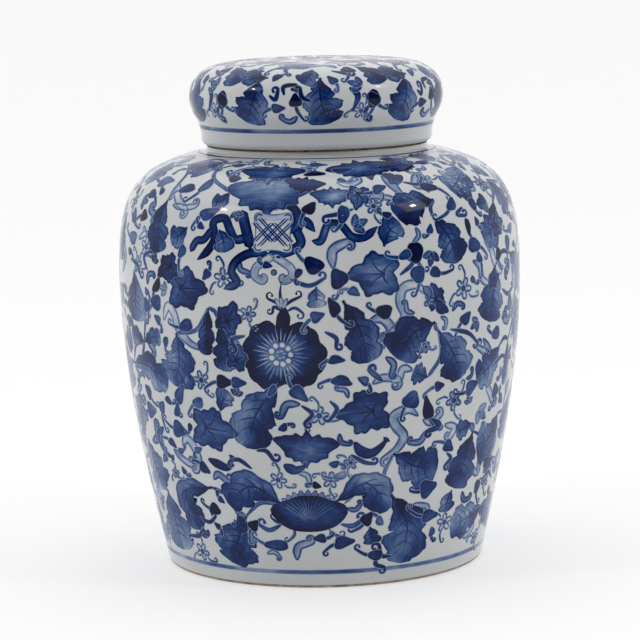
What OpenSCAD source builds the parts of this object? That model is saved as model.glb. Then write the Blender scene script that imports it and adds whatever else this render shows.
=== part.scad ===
// Ginger jar in porcelain: a high-shouldered jar with an upright neck, and a
// hollow lid that drops over the neck and rests on the ledge round its root.
// Both pieces are turned about the Z axis, and Z = 0 is the resting plane.
// Sizes are in millimetres and angles in degrees.

/* [Jar] */
// Widest diameter of the jar, at its belly
belly_d = 191.8; // [160:0.2:240]
// Height of the belly above the resting plane
belly_h = 140; // [110:1:180]
// Height of the ledge above the belly
shoulder_h = 60; // [48:1:80]
// Thickness of the jar's wall
wall = 6; // [4:0.5:8]
// Thickness of the floor
floor_t = 7; // [5:0.5:12]

/* [Foot] */
// Diameter of the foot
foot_d = 152; // [120:1:190]
// Width of the unglazed ring that the jar stands on
foot_ring_w = 7; // [5:0.5:12]
// Depth of the hollow inside the foot ring
foot_hollow = 5; // [3:0.5:10]
// Angle that the wall leans outwards as it leaves the foot
foot_lean = 12; // [0:1:25]

/* [Neck] */
// Outside diameter of the neck
neck_d = 92; // [70:1:115]
// Height of the neck above the ledge
neck_h = 16; // [10:1:20]
// Thickness of the neck's wall
neck_wall = 5; // [4:0.5:7]
// Width of the ledge round the neck
ledge_w = 6.5; // [5.5:0.1:9]
// Height of the ledge above the end of the shoulder
collar_h = 3.1; // [2.6:0.1:6]
// Slope of the shoulder where it meets the collar
shoulder_slope = 12; // [4:1:25]

/* [Lid] */
// Height of the lid
lid_h = 40; // [33:1:50]
// Height of the lid's widest part above its rim
lid_belly_h = 23; // [19:1:28]
// How far the lid's widest part stands out past its rim
lid_swell = 5.4; // [2:0.2:9]
// Thickness of the lid's rim
rim_w = 7.2; // [6:0.1:9]
// Thickness of the lid's crown
lid_wall = 5; // [4:0.5:7]

/* [Fits] */
// Gap all round between the neck and the inside of the lid's rim
lid_gap = 1.8; // [1.4:0.1:3]

/* [Hidden] */

// Segments round a turned piece, and points along one curve of its outline
$fn = 96;
steps = 14;
arc_steps = 5;

// Radii and heights of the jar's outline
belly_r = belly_d / 2;
foot_r = foot_d / 2;
neck_r = neck_d / 2;
throat_r = neck_r - neck_wall;
collar_r = neck_r + ledge_w;
ledge_z = belly_h + shoulder_h;
shoulder_z = ledge_z - collar_h;
lip_z = ledge_z + neck_h;
floor_z = foot_hollow + floor_t;

// Small radii of the jar
foot_edge = 2.5;
ring_edge = 1;
hollow_fillet = 2;
floor_fillet = 12;
ledge_edge = 0.8;
neck_fillet = 1.2;
collar_fillet = 2.5;
throat_fillet = 12;
lip_r = neck_wall / 2;

// How far each curve keeps its first or last direction, as a share of its rise
foot_pull = 0.3;
belly_pull = 0.365;
shoulder_pull = 0.73;
ledge_pull = 0.74;

// Radii and heights of the lid's outline
rim_in_r = neck_r + lid_gap;
rim_r = rim_in_r + rim_w;
lid_r = rim_r + lid_swell;
lid_in_r = lid_r - lid_wall;
lid_belly_z = ledge_z + lid_belly_h;
lid_top_z = ledge_z + lid_h;

// Small radii of the lid, and the height at which its crown leaves its side
rim_edge = 3;
rim_chamfer = 0.6;
crown_r = lid_r - 16.4;
crown_z = lid_top_z - 1.7;

// Point at share t of the curve from a to d that sets out towards b and
// comes in from c
function bend(a, b, c, d, t) =
    pow(1 - t, 3) * a
    + 3 * pow(1 - t, 2) * t * b
    + 3 * (1 - t) * pow(t, 2) * c
    + pow(t, 3) * d;

// Direction of that curve at share t
function heading(a, b, c, d, t) =
    pow(1 - t, 2) * (b - a) + 2 * (1 - t) * t * (c - b) + pow(t, 2) * (d - c);

// Points along the curve, moved sideways by inset, to the left of its heading
function curve(q, inset = 0, n = steps) = [
    for (i = [0:n])
        let (
            t = i / n,
            way = heading(q[0], q[1], q[2], q[3], t),
            left = [-way[1], way[0]] / norm(way)
        )
        bend(q[0], q[1], q[2], q[3], t) + inset * left
];

// Points along an arc of radius r round the centre c, from angle a0 to a1
function arc(c, r, a0, a1) = [
    for (i = [0:arc_steps])
        let (a = a0 + (a1 - a0) * i / arc_steps)
        c + r * [cos(a), sin(a)]
];

// Solid turned about the Z axis from an outline of [radius, height] points
module turned(outline) {
    rotate_extrude() polygon(outline);
}

// Outside of the jar between its foot and its belly
foot_top = [foot_r, foot_edge * (1 - sin(foot_lean))];
foot_rise = belly_h - foot_top[1];
side_curve = [
    foot_top,
    foot_top + foot_pull * foot_rise * [tan(foot_lean), 1],
    [belly_r, belly_h - belly_pull * foot_rise],
    [belly_r, belly_h]
];

// Outside of the jar between its belly and its collar
shoulder_end = [collar_r + collar_fillet, shoulder_z];
ledge_reach = ledge_pull * (belly_r - shoulder_end[0]);
shoulder_curve = [
    [belly_r, belly_h],
    [belly_r, belly_h + shoulder_pull * (shoulder_z - belly_h)],
    shoulder_end + ledge_reach * [1, -tan(shoulder_slope)],
    shoulder_end
];

// Short hollow curve from the shoulder up the side of the collar
collar_foot = [collar_r, ledge_z - ledge_edge];
collar_curve = [
    shoulder_end,
    shoulder_end + 0.6 * collar_fillet * [-1, tan(shoulder_slope)],
    [collar_r, shoulder_z + 0.3 * (collar_foot[1] - shoulder_z)],
    collar_foot
];

// Inside of the jar between its floor and its belly
floor_turn = [foot_r - wall - floor_fillet, floor_z + floor_fillet];
floor_edge = floor_turn + floor_fillet * [cos(foot_lean), -sin(foot_lean)];
inside_rise = belly_h - floor_edge[1];
inside_curve = [
    floor_edge,
    floor_edge + foot_pull * inside_rise * [tan(foot_lean), 1],
    [belly_r - wall, belly_h - belly_pull * inside_rise],
    [belly_r - wall, belly_h]
];

// Inside of the jar from under its shoulder up into the neck
under_shoulder = shoulder_end - wall * [sin(shoulder_slope), cos(shoulder_slope)];
throat_curve = [
    [throat_r, ledge_z + neck_fillet],
    [throat_r, ledge_z - throat_fillet / 2],
    under_shoulder + 0.6 * (under_shoulder[0] - throat_r) * [-1, tan(shoulder_slope)],
    under_shoulder
];

// List of points in the opposite order
function backwards(points) = [
    for (i = [len(points) - 1:-1:0]) points[i]
];

// Jar: hollow foot, swelling side, high shoulder, collar with its ledge, and
// the upright neck that the lid hides
module jar() {
    foot_ring_r = foot_r - foot_ring_w;
    underside = concat(
        [[0, foot_hollow]],
        arc([foot_ring_r - hollow_fillet, foot_hollow - hollow_fillet], hollow_fillet, 90, 0),
        arc([foot_ring_r + ring_edge, ring_edge], ring_edge, 180, 270),
        arc([foot_r - foot_edge * cos(foot_lean), foot_edge], foot_edge, -90, -foot_lean)
    );
    outside = concat(
        curve(side_curve),
        curve(shoulder_curve),
        curve(collar_curve, n = arc_steps)
    );
    ledge = concat(
        arc([collar_r - ledge_edge, ledge_z - ledge_edge], ledge_edge, 0, 90),
        arc([neck_r + neck_fillet, ledge_z + neck_fillet], neck_fillet, 270, 180)
    );
    lip = arc([neck_r - lip_r, lip_z - lip_r], lip_r, 0, 180);
    inside = concat(
        curve(throat_curve, n = arc_steps),
        backwards(curve(shoulder_curve, wall)),
        backwards(curve(inside_curve)),
        arc(floor_turn, floor_fillet, -foot_lean, -90),
        [[0, floor_z]]
    );
    color([0.87, 0.89, 0.87])
        turned(concat(underside, outside, ledge, lip, inside));
}

// Outside of the lid from its rim out to its widest part
lid_side_curve = [
    [rim_r, ledge_z + rim_edge],
    [rim_r, ledge_z + rim_edge + 0.5 * (lid_belly_h - rim_edge)],
    [lid_r, lid_belly_z - 0.45 * (lid_belly_h - rim_edge)],
    [lid_r, lid_belly_z]
];

// Outside of the lid from its widest part round the edge of its crown
lid_turn_curve = [
    [lid_r, lid_belly_z],
    [lid_r, lid_belly_z + 0.55 * (crown_z - lid_belly_z)],
    [crown_r + 10, crown_z - 1.5],
    [crown_r, crown_z]
];

// Outside of the lid across its nearly flat crown
crown_curve = [
    [crown_r, crown_z],
    [crown_r - 11, lid_top_z],
    [crown_r / 3, lid_top_z],
    [0, lid_top_z]
];

// Inside of the lid from its rim out to its widest part
lid_inside_curve = [
    [rim_in_r, ledge_z + rim_edge],
    [rim_in_r, ledge_z + rim_edge + 0.55 * (lid_belly_h - rim_edge)],
    [lid_in_r, lid_belly_z - 0.4 * (lid_belly_h - rim_edge)],
    [lid_in_r, lid_belly_z]
];

// Lid: a hollow cap whose flat, unglazed rim rests on the jar's ledge
module lid() {
    rim = [
        [rim_in_r, ledge_z + rim_chamfer],
        [rim_in_r + rim_chamfer, ledge_z]
    ];
    outside = concat(
        arc([rim_r - rim_edge, ledge_z + rim_edge], rim_edge, -90, 0),
        curve(lid_side_curve),
        curve(lid_turn_curve),
        curve(crown_curve)
    );
    inside = concat(
        backwards(curve(crown_curve, lid_wall)),
        backwards(curve(lid_turn_curve, lid_wall)),
        backwards(curve(lid_inside_curve))
    );
    color([0.9, 0.92, 0.91])
        turned(concat(rim, outside, inside));
}

jar();
lid();
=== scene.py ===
"""Ginger jar: a turned porcelain jar and its lid, painted by brush in cobalt blue under a clear glaze."""
import math

import bpy
import numpy as np
from mathutils import Matrix, Vector


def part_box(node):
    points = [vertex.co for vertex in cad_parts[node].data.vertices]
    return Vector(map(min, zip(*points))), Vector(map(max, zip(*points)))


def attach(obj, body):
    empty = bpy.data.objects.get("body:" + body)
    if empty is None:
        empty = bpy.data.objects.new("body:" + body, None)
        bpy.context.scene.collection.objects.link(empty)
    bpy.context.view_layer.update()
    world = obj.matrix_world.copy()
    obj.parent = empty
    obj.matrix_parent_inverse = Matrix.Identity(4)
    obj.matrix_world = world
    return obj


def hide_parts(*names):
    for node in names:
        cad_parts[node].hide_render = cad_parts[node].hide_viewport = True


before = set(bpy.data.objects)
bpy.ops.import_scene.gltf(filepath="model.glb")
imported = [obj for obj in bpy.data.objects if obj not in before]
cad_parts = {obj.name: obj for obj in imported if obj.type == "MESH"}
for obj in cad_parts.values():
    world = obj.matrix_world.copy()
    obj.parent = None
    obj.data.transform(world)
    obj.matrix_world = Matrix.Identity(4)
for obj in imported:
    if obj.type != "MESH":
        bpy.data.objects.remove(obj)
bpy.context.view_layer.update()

MM = 0.001
jar_low, jar_high = (np.array(corner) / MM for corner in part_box("jar"))
lid_low, lid_high = (np.array(corner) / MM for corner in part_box("lid"))

# Sizes of the turned pieces in millimetres, taken from the frame where it holds them
PAINT_ROOM = 0.1
BELLY_R = (jar_high[0] - jar_low[0]) / 2 - PAINT_ROOM
BELLY_H = 140.0
FOOT_R = 76.0
FOOT_EDGE = 2.5
FOOT_RING_W = 7.0
FOOT_HOLLOW = 5.0
FOOT_LEAN = math.radians(12)
FLOOR_Z = 12.0
FLOOR_FILLET = 12.0
WALL = 6.0
LEDGE_Z = lid_low[2]
NECK_TOP = jar_high[2]
NECK_R = 46.0
NECK_FILLET = 1.2
THROAT_R = 41.0
COLLAR_R = 52.5
COLLAR_H = 3.1
COLLAR_FILLET = 2.5
LEDGE_EDGE = 0.5
SHOULDER_SLOPE = math.radians(12)
LID_TOP = lid_high[2] - PAINT_ROOM
LID_R = (lid_high[0] - lid_low[0]) / 2 - PAINT_ROOM
LID_BELLY_Z = LEDGE_Z + 23.0
LID_WALL = 5.0
RIM_R = 55.0
RIM_IN_R = 47.8
RIM_EDGE = 3.0
CROWN_R = LID_R - 16.4
CROWN_Z = LID_TOP - 1.6
BARE_T = 0.5

# How far the curves' middle corners reach along their spans, which is what makes a curve lean or full
FOOT_PULL = 0.3
BELLY_PULL = 0.365
SHOULDER_PULL = 0.73
SHOULDER_REACH = 0.74

# Points along a curve of an outline
CURVE_POINTS = 48
SIDE_POINTS = 90
SHOULDER_POINTS = 70


# ---------------------------------------------------------------- outlines of the turned pieces

def bend(a, b, c, d, count=CURVE_POINTS):
    """Points of the cubic curve from a to d: the corners weighted by (1-t)^3, 3(1-t)^2 t, 3(1-t) t^2, t^3."""
    t = np.linspace(0, 1, count)[:, None]
    a, b, c, d = (np.asarray(p, float) for p in (a, b, c, d))
    return (1 - t) ** 3 * a + 3 * (1 - t) ** 2 * t * b + 3 * (1 - t) * t ** 2 * c + t ** 3 * d


def arc(centre, radius, start, end, count=8):
    """Points of a round arc: the centre plus the radius times cosine and sine, from start to end."""
    turn = np.radians(np.linspace(start, end, count))
    return np.asarray(centre, float) + radius * np.column_stack([np.cos(turn), np.sin(turn)])


def quarter(way):
    """A direction turned a quarter to the left."""
    return np.array([-way[1], way[0]])


def along(line):
    """Millimetres run along a line up to each of its points."""
    return np.concatenate([[0], np.cumsum(np.hypot(*np.diff(line, axis=0).T))])


def left_of(line, least=0.0):
    """Unit directions to the left of a line at each of its points."""
    way = np.gradient(line, axis=0)
    way /= np.maximum(np.hypot(way[:, 0], way[:, 1]), least)[:, None]
    return np.column_stack([-way[:, 1], way[:, 0]])


def inset(line, depth):
    """The line moved sideways by depth, towards the left of its own direction."""
    return line + depth * left_of(line)


def joined(*lines):
    """The lines end to end, with doubled points dropped."""
    line = np.vstack(lines)
    step = np.hypot(*np.diff(line, axis=0).T)
    return line[np.concatenate([[True], step > 1e-4])]


def leaning(start, belly_r, count):
    """The leaning curve of a side, from its start near the foot up to the belly."""
    rise = BELLY_H - start[1]
    return bend(start, start + FOOT_PULL * rise * np.array([math.tan(FOOT_LEAN), 1]),
                (belly_r, BELLY_H - BELLY_PULL * rise), (belly_r, BELLY_H), count)


def jar_side():
    """Outside of the jar: a leaning curve from the foot to the belly, then a full curve in to the collar."""
    foot = np.array([FOOT_R, FOOT_EDGE * (1 - math.sin(FOOT_LEAN))])
    end = np.array([COLLAR_R + COLLAR_FILLET, LEDGE_Z - COLLAR_H])
    reach = SHOULDER_REACH * (BELLY_R - end[0])
    shoulder = bend((BELLY_R, BELLY_H), (BELLY_R, BELLY_H + SHOULDER_PULL * (end[1] - BELLY_H)),
                    end + reach * np.array([1, -math.tan(SHOULDER_SLOPE)]), end, SHOULDER_POINTS)
    return joined(leaning(foot, BELLY_R, SIDE_POINTS), shoulder)


def jar_outline():
    """The whole section of the glazed jar, from the middle of its underside to the middle of its floor."""
    ring_in = FOOT_R - FOOT_RING_W
    under = joined([(0, FOOT_HOLLOW)], arc((ring_in - 2, FOOT_HOLLOW - 2), 2, 90, 0),
                   [(ring_in, BARE_T), (FOOT_R - 1.0, BARE_T)])
    collar_z = LEDGE_Z - COLLAR_H
    collar = bend((COLLAR_R + COLLAR_FILLET, collar_z), (COLLAR_R + 1.0, collar_z + 0.3),
                  (COLLAR_R, collar_z + 0.7), (COLLAR_R, LEDGE_Z - 1.0), 8)
    ledge = joined(arc((COLLAR_R - LEDGE_EDGE, LEDGE_Z - BARE_T - LEDGE_EDGE), LEDGE_EDGE, 0, 90, 4),
                   arc((NECK_R + NECK_FILLET, LEDGE_Z + NECK_FILLET - BARE_T), NECK_FILLET, 270, 180, 6))
    lip_r = (NECK_R - THROAT_R) / 2
    lip = arc((NECK_R - lip_r, NECK_TOP - lip_r), lip_r, 0, 180, 16)
    outside = jar_side()
    inner_shoulder = inset(outside[SIDE_POINTS - 1:], WALL)[::-2]
    throat = bend((THROAT_R, LEDGE_Z + NECK_FILLET), (THROAT_R, LEDGE_Z - 6),
                  inner_shoulder[0] + np.array([-6.5, 1.4]), inner_shoulder[0], 14)
    turn = np.array([FOOT_R - WALL - FLOOR_FILLET, FLOOR_Z + FLOOR_FILLET])
    edge = turn + FLOOR_FILLET * np.array([math.cos(FOOT_LEAN), -math.sin(FOOT_LEAN)])
    inner_side = leaning(edge, BELLY_R - WALL, 36)[::-1]
    floor = joined(arc(turn, FLOOR_FILLET, -math.degrees(FOOT_LEAN), -90, 12), [(0, FLOOR_Z)])
    return joined(under, outside, collar, ledge, lip, throat, inner_shoulder, inner_side, floor)


def lid_side():
    """Outside of the lid: a waisted curve from its rim, a tight turn at its edge and a nearly flat crown."""
    start = LEDGE_Z + RIM_EDGE
    rise = LID_BELLY_Z - LEDGE_Z - RIM_EDGE
    waist = bend((RIM_R, start), (RIM_R, start + 0.5 * rise), (LID_R, LID_BELLY_Z - 0.45 * rise),
                 (LID_R, LID_BELLY_Z))
    turn = bend((LID_R, LID_BELLY_Z), (LID_R, LID_BELLY_Z + 0.55 * (CROWN_Z - LID_BELLY_Z)),
                (CROWN_R + 10, CROWN_Z - 1.5), (CROWN_R, CROWN_Z))
    crown = bend((CROWN_R, CROWN_Z), (CROWN_R - 11, LID_TOP), (CROWN_R / 3, LID_TOP), (0, LID_TOP))
    return joined(waist, turn, crown)


def lid_outline():
    """The whole section of the glazed lid, from the middle of its hollow round to the middle of its crown."""
    outside = lid_side()
    hollow = inset(outside[CURVE_POINTS:], LID_WALL)[::-1]
    hollow[0, 0] = 0
    rise = LID_BELLY_Z - LEDGE_Z - RIM_EDGE
    inner_r = LID_R - LID_WALL
    inner_side = bend((inner_r, LID_BELLY_Z), (inner_r, LID_BELLY_Z - 0.4 * rise),
                      (RIM_IN_R, LEDGE_Z + RIM_EDGE + 0.55 * rise), (RIM_IN_R, LEDGE_Z + RIM_EDGE))
    rim = joined([(RIM_IN_R, LEDGE_Z + 1.1), (RIM_IN_R + 0.6, LEDGE_Z + BARE_T)],
                 arc((RIM_R - RIM_EDGE, LEDGE_Z + RIM_EDGE), RIM_EDGE, -56, 0, 8))
    return joined(hollow, inner_side, rim, outside)


def foot_ring_outline():
    """Section of the unglazed ring under the foot, with both of its edges rounded."""
    ring_in = FOOT_R - FOOT_RING_W
    return joined(arc((ring_in + 1, 1), 1, 180, 270, 6),
                  arc((FOOT_R - FOOT_EDGE, FOOT_EDGE), FOOT_EDGE, -90, -25, 8),
                  [(FOOT_R - 3, 2.2), (ring_in + 2, 1.6)])


def ledge_ring_outline():
    """Section of the unglazed ring that the lid rests on."""
    outer = [(-3.0, -2), (-0.2, -1.4), (-0.1, -0.7), (-0.4, -0.25), (-1.0, -0.02)]
    inner = [(1.4, -0.02), (0.7, 0.4), (-1, -1)]
    return np.array([(COLLAR_R + out, LEDGE_Z + up) for out, up in outer]
                    + [(NECK_R + out, LEDGE_Z + up) for out, up in inner])


def lid_ring_outline():
    """Section of the unglazed ring under the rim of the lid."""
    return joined([(RIM_IN_R + 0.05, LEDGE_Z + 1.0), (RIM_IN_R + 0.6, LEDGE_Z + 0.02)],
                  arc((RIM_R - RIM_EDGE, LEDGE_Z + RIM_EDGE), RIM_EDGE - 0.02, -90, -50, 7),
                  [(RIM_R - 3.5, LEDGE_Z + 1.6), (RIM_IN_R + 1.5, LEDGE_Z + 1.6)])


# ---------------------------------------------------------------- making meshes from arrays

def mesh_piece(name, points, faces, material, body, uvs, normals=None, fields=()):
    """A mesh object from an array of points in millimetres and arrays of faces, each with one number of
    corners. Fields are named values at its points."""
    mesh = bpy.data.meshes.new(name)
    loops = np.concatenate([f.ravel() for f in faces]).astype(np.int32)
    sizes = np.concatenate([np.full(len(f), f.shape[1]) for f in faces]).astype(np.int32)
    starts = np.concatenate([[0], np.cumsum(sizes)[:-1]]).astype(np.int32)
    mesh.vertices.add(len(points))
    mesh.vertices.foreach_set("co", (points * MM).astype(np.float32).ravel())
    mesh.loops.add(len(loops))
    mesh.loops.foreach_set("vertex_index", loops)
    mesh.polygons.add(len(sizes))
    mesh.polygons.foreach_set("loop_start", starts)
    mesh.update(calc_edges=True)
    mesh.polygons.foreach_set("use_smooth", np.ones(len(sizes), bool))
    for label, kind, field, values in fields:
        layer = mesh.attributes.new(label, kind, "POINT")
        layer.data.foreach_set(field, np.asarray(values, np.float32).ravel())
    mesh.uv_layers.new(name="OFBake").data.foreach_set("uv", uvs.astype(np.float32).ravel())
    mesh.validate()
    if normals is not None:
        mesh.normals_split_custom_set_from_vertices(normals)
    mesh.materials.append(material)
    piece = bpy.data.objects.new(name, mesh)
    bpy.context.scene.collection.objects.link(piece)
    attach(piece, body)
    return piece


def turned(name, outline, material, body, segments=256):
    """A piece turned about Z: each outline point (radius, height) goes to radius times cosine and sine of the
    turning angle. An outline that starts and ends on the axis closes at two poles, any other on itself."""
    poles = outline[0, 0] < 1e-6
    ring = outline[1:-1] if poles else outline
    angle = np.linspace(0, 2 * np.pi, segments, endpoint=False)
    points = np.stack([ring[:, :1] * np.cos(angle), ring[:, :1] * np.sin(angle),
                       np.repeat(ring[:, 1:], segments, 1)], -1).reshape(-1, 3)
    count = len(ring)
    row = np.arange(count - 1 if poles else count)[:, None]
    column = np.arange(segments)[None]
    above, beside = (row + 1) % count, (column + 1) % segments
    faces = [np.stack([row * segments + column, row * segments + beside,
                       above * segments + beside, above * segments + column], -1).reshape(-1, 4)]
    u = np.stack([column, column + 1, column + 1, column], -1) / segments + 0.0 * row[..., None]
    v = np.stack([row, row, row + 1, row + 1], -1) / count + 0.0 * column[..., None]
    uvs = [np.stack([u, v], -1).reshape(-1, 2)]
    if poles:
        first, last = len(points), len(points) + 1
        points = np.vstack([points, [[0, 0, outline[0, 1]], [0, 0, outline[-1, 1]]]])
        top = (count - 1) * segments
        turn, onward = column[0], beside[0]
        faces.append(np.column_stack([np.full(segments, first), onward, turn]))
        faces.append(np.column_stack([np.full(segments, last), top + turn, top + onward]))
        fan = np.stack([turn + 0.5, turn + 1, turn], -1) / segments
        for across, heights in ((fan, [0, 0.002, 0.002]), (fan[:, [0, 2, 1]], [1, 0.998, 0.998])):
            uvs.append(np.stack([across, np.tile(heights, (segments, 1))], -1).reshape(-1, 2))
    return mesh_piece(name, points, faces, material, body, np.vstack(uvs))


class Wall:
    """The painted outside of one turned piece. A place on it is (angle, run): degrees round from the front
    to the right, and millimetres up along the outline."""

    def __init__(self, outline):
        self.outline = outline
        self.run = along(outline)
        self.normal = -left_of(outline)

    def radius(self, run):
        """Radius of the wall at a run."""
        return np.interp(run, self.run, self.outline[:, 0])

    def at(self, place, lift=0.0):
        """Points and normals at places (angle, run), lifted off the wall: the outline turned to each one."""
        angle, run = np.radians(place[..., 0]), place[..., 1]
        radius, height, out, up = (np.interp(run, self.run, values)
                                   for values in (*self.outline.T, *self.normal.T))
        radius, height = radius + lift * out, height + lift * up
        side = np.stack([np.sin(angle), -np.cos(angle)], -1)
        points = np.concatenate([radius[..., None] * side, height[..., None]], -1)
        return points, np.concatenate([out[..., None] * side, up[..., None]], -1)

    def cone(self, run):
        """Radius of the flat sheet that touches the wall at this run, and how fast the wall narrows there."""
        slope = (self.radius(run + 1) - self.radius(run - 1)) / 2
        narrow = -slope if abs(slope) > 0.002 else 0.002
        return self.radius(run) / narrow, narrow

    def flat(self, places, anchor):
        """Places laid out in millimetres round the anchor, on the unrolled cone that touches the wall."""
        reach, narrow = self.cone(anchor[1])
        turn = np.radians(places[..., 0] - anchor[0]) * narrow
        left = reach - (places[..., 1] - anchor[1])
        return np.stack([left * np.sin(turn), reach - left * np.cos(turn)], -1)

    def rolled(self, flat, anchor):
        """The opposite of flat(): millimetres round the anchor back to places (angle, run)."""
        reach, narrow = self.cone(anchor[1])
        x, y = flat[..., 0], reach - flat[..., 1]
        left = np.hypot(x, y) * np.sign(reach)
        return np.stack([anchor[0] + np.degrees(np.arctan(x / y)) / narrow, anchor[1] + reach - left], -1)


# ---------------------------------------------------------------- finishes

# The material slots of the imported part
PORCELAIN, COBALT, BISCUIT = "porcelain_glaze", "cobalt_painting", "bare_biscuit"

GLAZE_ROUGH = 0.07
GLAZE_IOR = 1.5
GLAZE_SHINE = 0.2
PORCELAIN_PALE = (0.592, 0.607, 0.612)
PORCELAIN_GREY = (0.545, 0.567, 0.58)
PORCELAIN_SPECK = (0.55, 0.5, 0.42)
COBALT_STOPS = [
    (0.0, (0.565, 0.585, 0.597)), (0.13, (0.34, 0.405, 0.52)), (0.26, (0.175, 0.245, 0.39)),
    (0.38, (0.092, 0.152, 0.305)), (0.5, (0.036, 0.085, 0.235)), (0.65, (0.007, 0.034, 0.150)),
    (0.82, (0.002, 0.011, 0.078)), (1.0, (0.001, 0.004, 0.030)),
]
# Bare clay colours, darkened past the clay's own as painted shade of the gap between the lid and the jar
BISCUIT_AND_GAP_SHADE_STOPS = [(0.3, (0.12, 0.085, 0.05)), (0.5, (0.29, 0.22, 0.145)), (0.7, (0.43, 0.36, 0.27))]

# Millimetres from the edge of a film: where its colour is full, and where the pooled edge ends
FADE_END = 0.8
POOL_START = 0.75
POOL_END = 1.6
TONE_OFFSET = 0.91


class Network:
    """The nodes of one material or of the world."""

    def __init__(self, owner):
        owner.use_nodes = True
        self.nodes, self.links = owner.node_tree.nodes, owner.node_tree.links

    def fill(self, node, inputs):
        """Gives each named input a link, if it is a socket, or else a value of its own."""
        for key, value in inputs.items():
            if isinstance(value, bpy.types.NodeSocket):
                self.links.new(value, node.inputs[key])
            else:
                node.inputs[key].default_value = value
        return node

    def place(self, kind="Object"):
        """Where a point is, in metres, or the direction that a world is seen in."""
        return self.nodes.new("ShaderNodeTexCoord").outputs[kind]

    def field(self, name):
        """The node of a named value at the points of a mesh."""
        node = self.nodes.new("ShaderNodeAttribute")
        node.attribute_name = name
        return node

    def noise(self, place, scale, detail, rough=0.5):
        """Noise of the given scale."""
        node = self.nodes.new("ShaderNodeTexNoise")
        self.fill(node, {"Vector": place, "Scale": scale, "Detail": detail, "Roughness": rough})
        return node.outputs["Fac"]

    def ramp(self, level, stops):
        """The colour for a level, between (level, colour) stops."""
        node = self.fill(self.nodes.new("ShaderNodeValToRGB"), {"Fac": level})
        bar = node.color_ramp.elements
        while len(bar) < len(stops):
            bar.new(0.5)
        for mark, (place, colour) in zip(bar, stops):
            mark.position = place
            mark.color = (*colour, 1.0)
        return node.outputs["Color"]

    def graded(self, value, start, end, low, high, way="SMOOTHSTEP"):
        """A value carried from start and end to low and high, and held beyond them."""
        node = self.nodes.new("ShaderNodeMapRange")
        node.interpolation_type = way
        self.fill(node, {"Value": value, "From Min": start, "From Max": end, "To Min": low, "To Max": high})
        return node.outputs["Result"]

    def step(self, operation, *terms):
        """One step of arithmetic."""
        node = self.nodes.new("ShaderNodeMath")
        node.operation = operation
        return self.fill(node, dict(enumerate(terms))).outputs[0]

    def total(self, *parts):
        """The sum of sockets, each times its own factor."""
        total = 0.0
        for socket, factor in parts:
            total = self.step("MULTIPLY_ADD", socket, factor, total)
        return total

    def bump(self, height, strength, distance):
        """Normals roughened by a height."""
        node = self.nodes.new("ShaderNodeBump")
        self.fill(node, {"Height": height, "Strength": strength, "Distance": distance})
        return node.outputs["Normal"]


def node_material(name):
    """A new material, its nodes and its shader."""
    material = bpy.data.materials.new(name)
    net = Network(material)
    return material, net, net.nodes["Principled BSDF"]


def glaze(net, shader, place, colour):
    """The clear glossy glaze over the bare white and the painting alike, faintly uneven as it was poured."""
    net.fill(shader, {"Base Color": colour, "Roughness": GLAZE_ROUGH, "IOR": GLAZE_IOR,
                      "Specular IOR Level": GLAZE_SHINE,
                      "Normal": net.bump(net.noise(place, 55.0, 2.0), 0.12, 0.0006)})


def porcelain_finish():
    """White porcelain under clear glaze: a cool white with slow drifts of grey and a few iron specks."""
    material, net, shader = node_material(PORCELAIN)
    place = net.place()
    mixed = net.nodes.new("ShaderNodeMix")
    mixed.data_type = "RGBA"
    mixed.blend_type = "MULTIPLY"
    drift = net.ramp(net.noise(place, 14.0, 4.0), [(0.35, PORCELAIN_GREY), (0.62, PORCELAIN_PALE)])
    specks = net.ramp(net.noise(place, 900.0, 1.0), [(0.185, PORCELAIN_SPECK), (0.2, (1, 1, 1))])
    net.fill(mixed, {"Factor": 1.0, "A": drift, "B": specks})
    glaze(net, shader, place, mixed.outputs["Result"])
    return material


def cobalt_finish():
    """Cobalt under clear glaze: the tone of each stroke, darker where the colour pooled along its edge,
    streaked along the way of the brush and mottled where the wash dried unevenly."""
    material, net, shader = node_material(COBALT)
    place = net.place()
    rim = net.field("rim").outputs["Fac"]
    fade = net.graded(rim, 0.0, FADE_END, 0.0, 1.0)
    pool = net.graded(rim, POOL_START, POOL_END, 1.0, 0.0, "LINEAR")
    pooled = net.step("MULTIPLY", pool, net.field("ink").outputs["Fac"])
    stretch = net.nodes.new("ShaderNodeMapping")
    net.fill(stretch, {"Vector": net.field("brush").outputs["Vector"], "Scale": (0.13, 0.62, 1.0)})
    streak = net.noise(stretch.outputs["Vector"], 1.0, 3.0, 0.6)
    mottle = net.noise(place, 130.0, 4.0, 0.6)
    wash = net.noise(place, 48.0, 2.0)
    total = net.total((net.field("tone").outputs["Fac"], 1.0), (pooled, 1.0), (wash, 0.95), (streak, 0.46),
                      (mottle, 0.36))
    level = net.step("SUBTRACT", total, TONE_OFFSET)
    glaze(net, shader, place, net.ramp(net.step("MULTIPLY", level, fade), COBALT_STOPS))
    return material


def biscuit_finish():
    """Bare fired clay: buff to rusty brown, matt and gritty. Its colours are darker than the clay's own, as
    painted shade of the gap under the rim of the lid.
    """
    material, net, shader = node_material(BISCUIT)
    grit = net.noise(net.place(), 260.0, 5.0, 0.65)
    net.fill(shader, {"Roughness": 0.85, "Base Color": net.ramp(grit, BISCUIT_AND_GAP_SHADE_STOPS),
                      "Normal": net.bump(grit, 0.4, 0.0003)})
    return material


# ---------------------------------------------------------------- painting

# Heights over the wall in millimetres: a film's foot, each kind of stroke, and the step from stroke to stroke
FILM_FOOT = -0.12
VINE_LIFT = 0.024
FLORET_LIFT = 0.030
RING_LIFT = 0.030
MEDALLION_LIFT = 0.036
LEAF_LIFT = 0.040
BLOT_LIFT = 0.044
BUD_LIFT = 0.050
VEIN_LIFT = 0.060
FINE_LIFT = 0.064
LIFT_STEP = 0.00002

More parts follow.
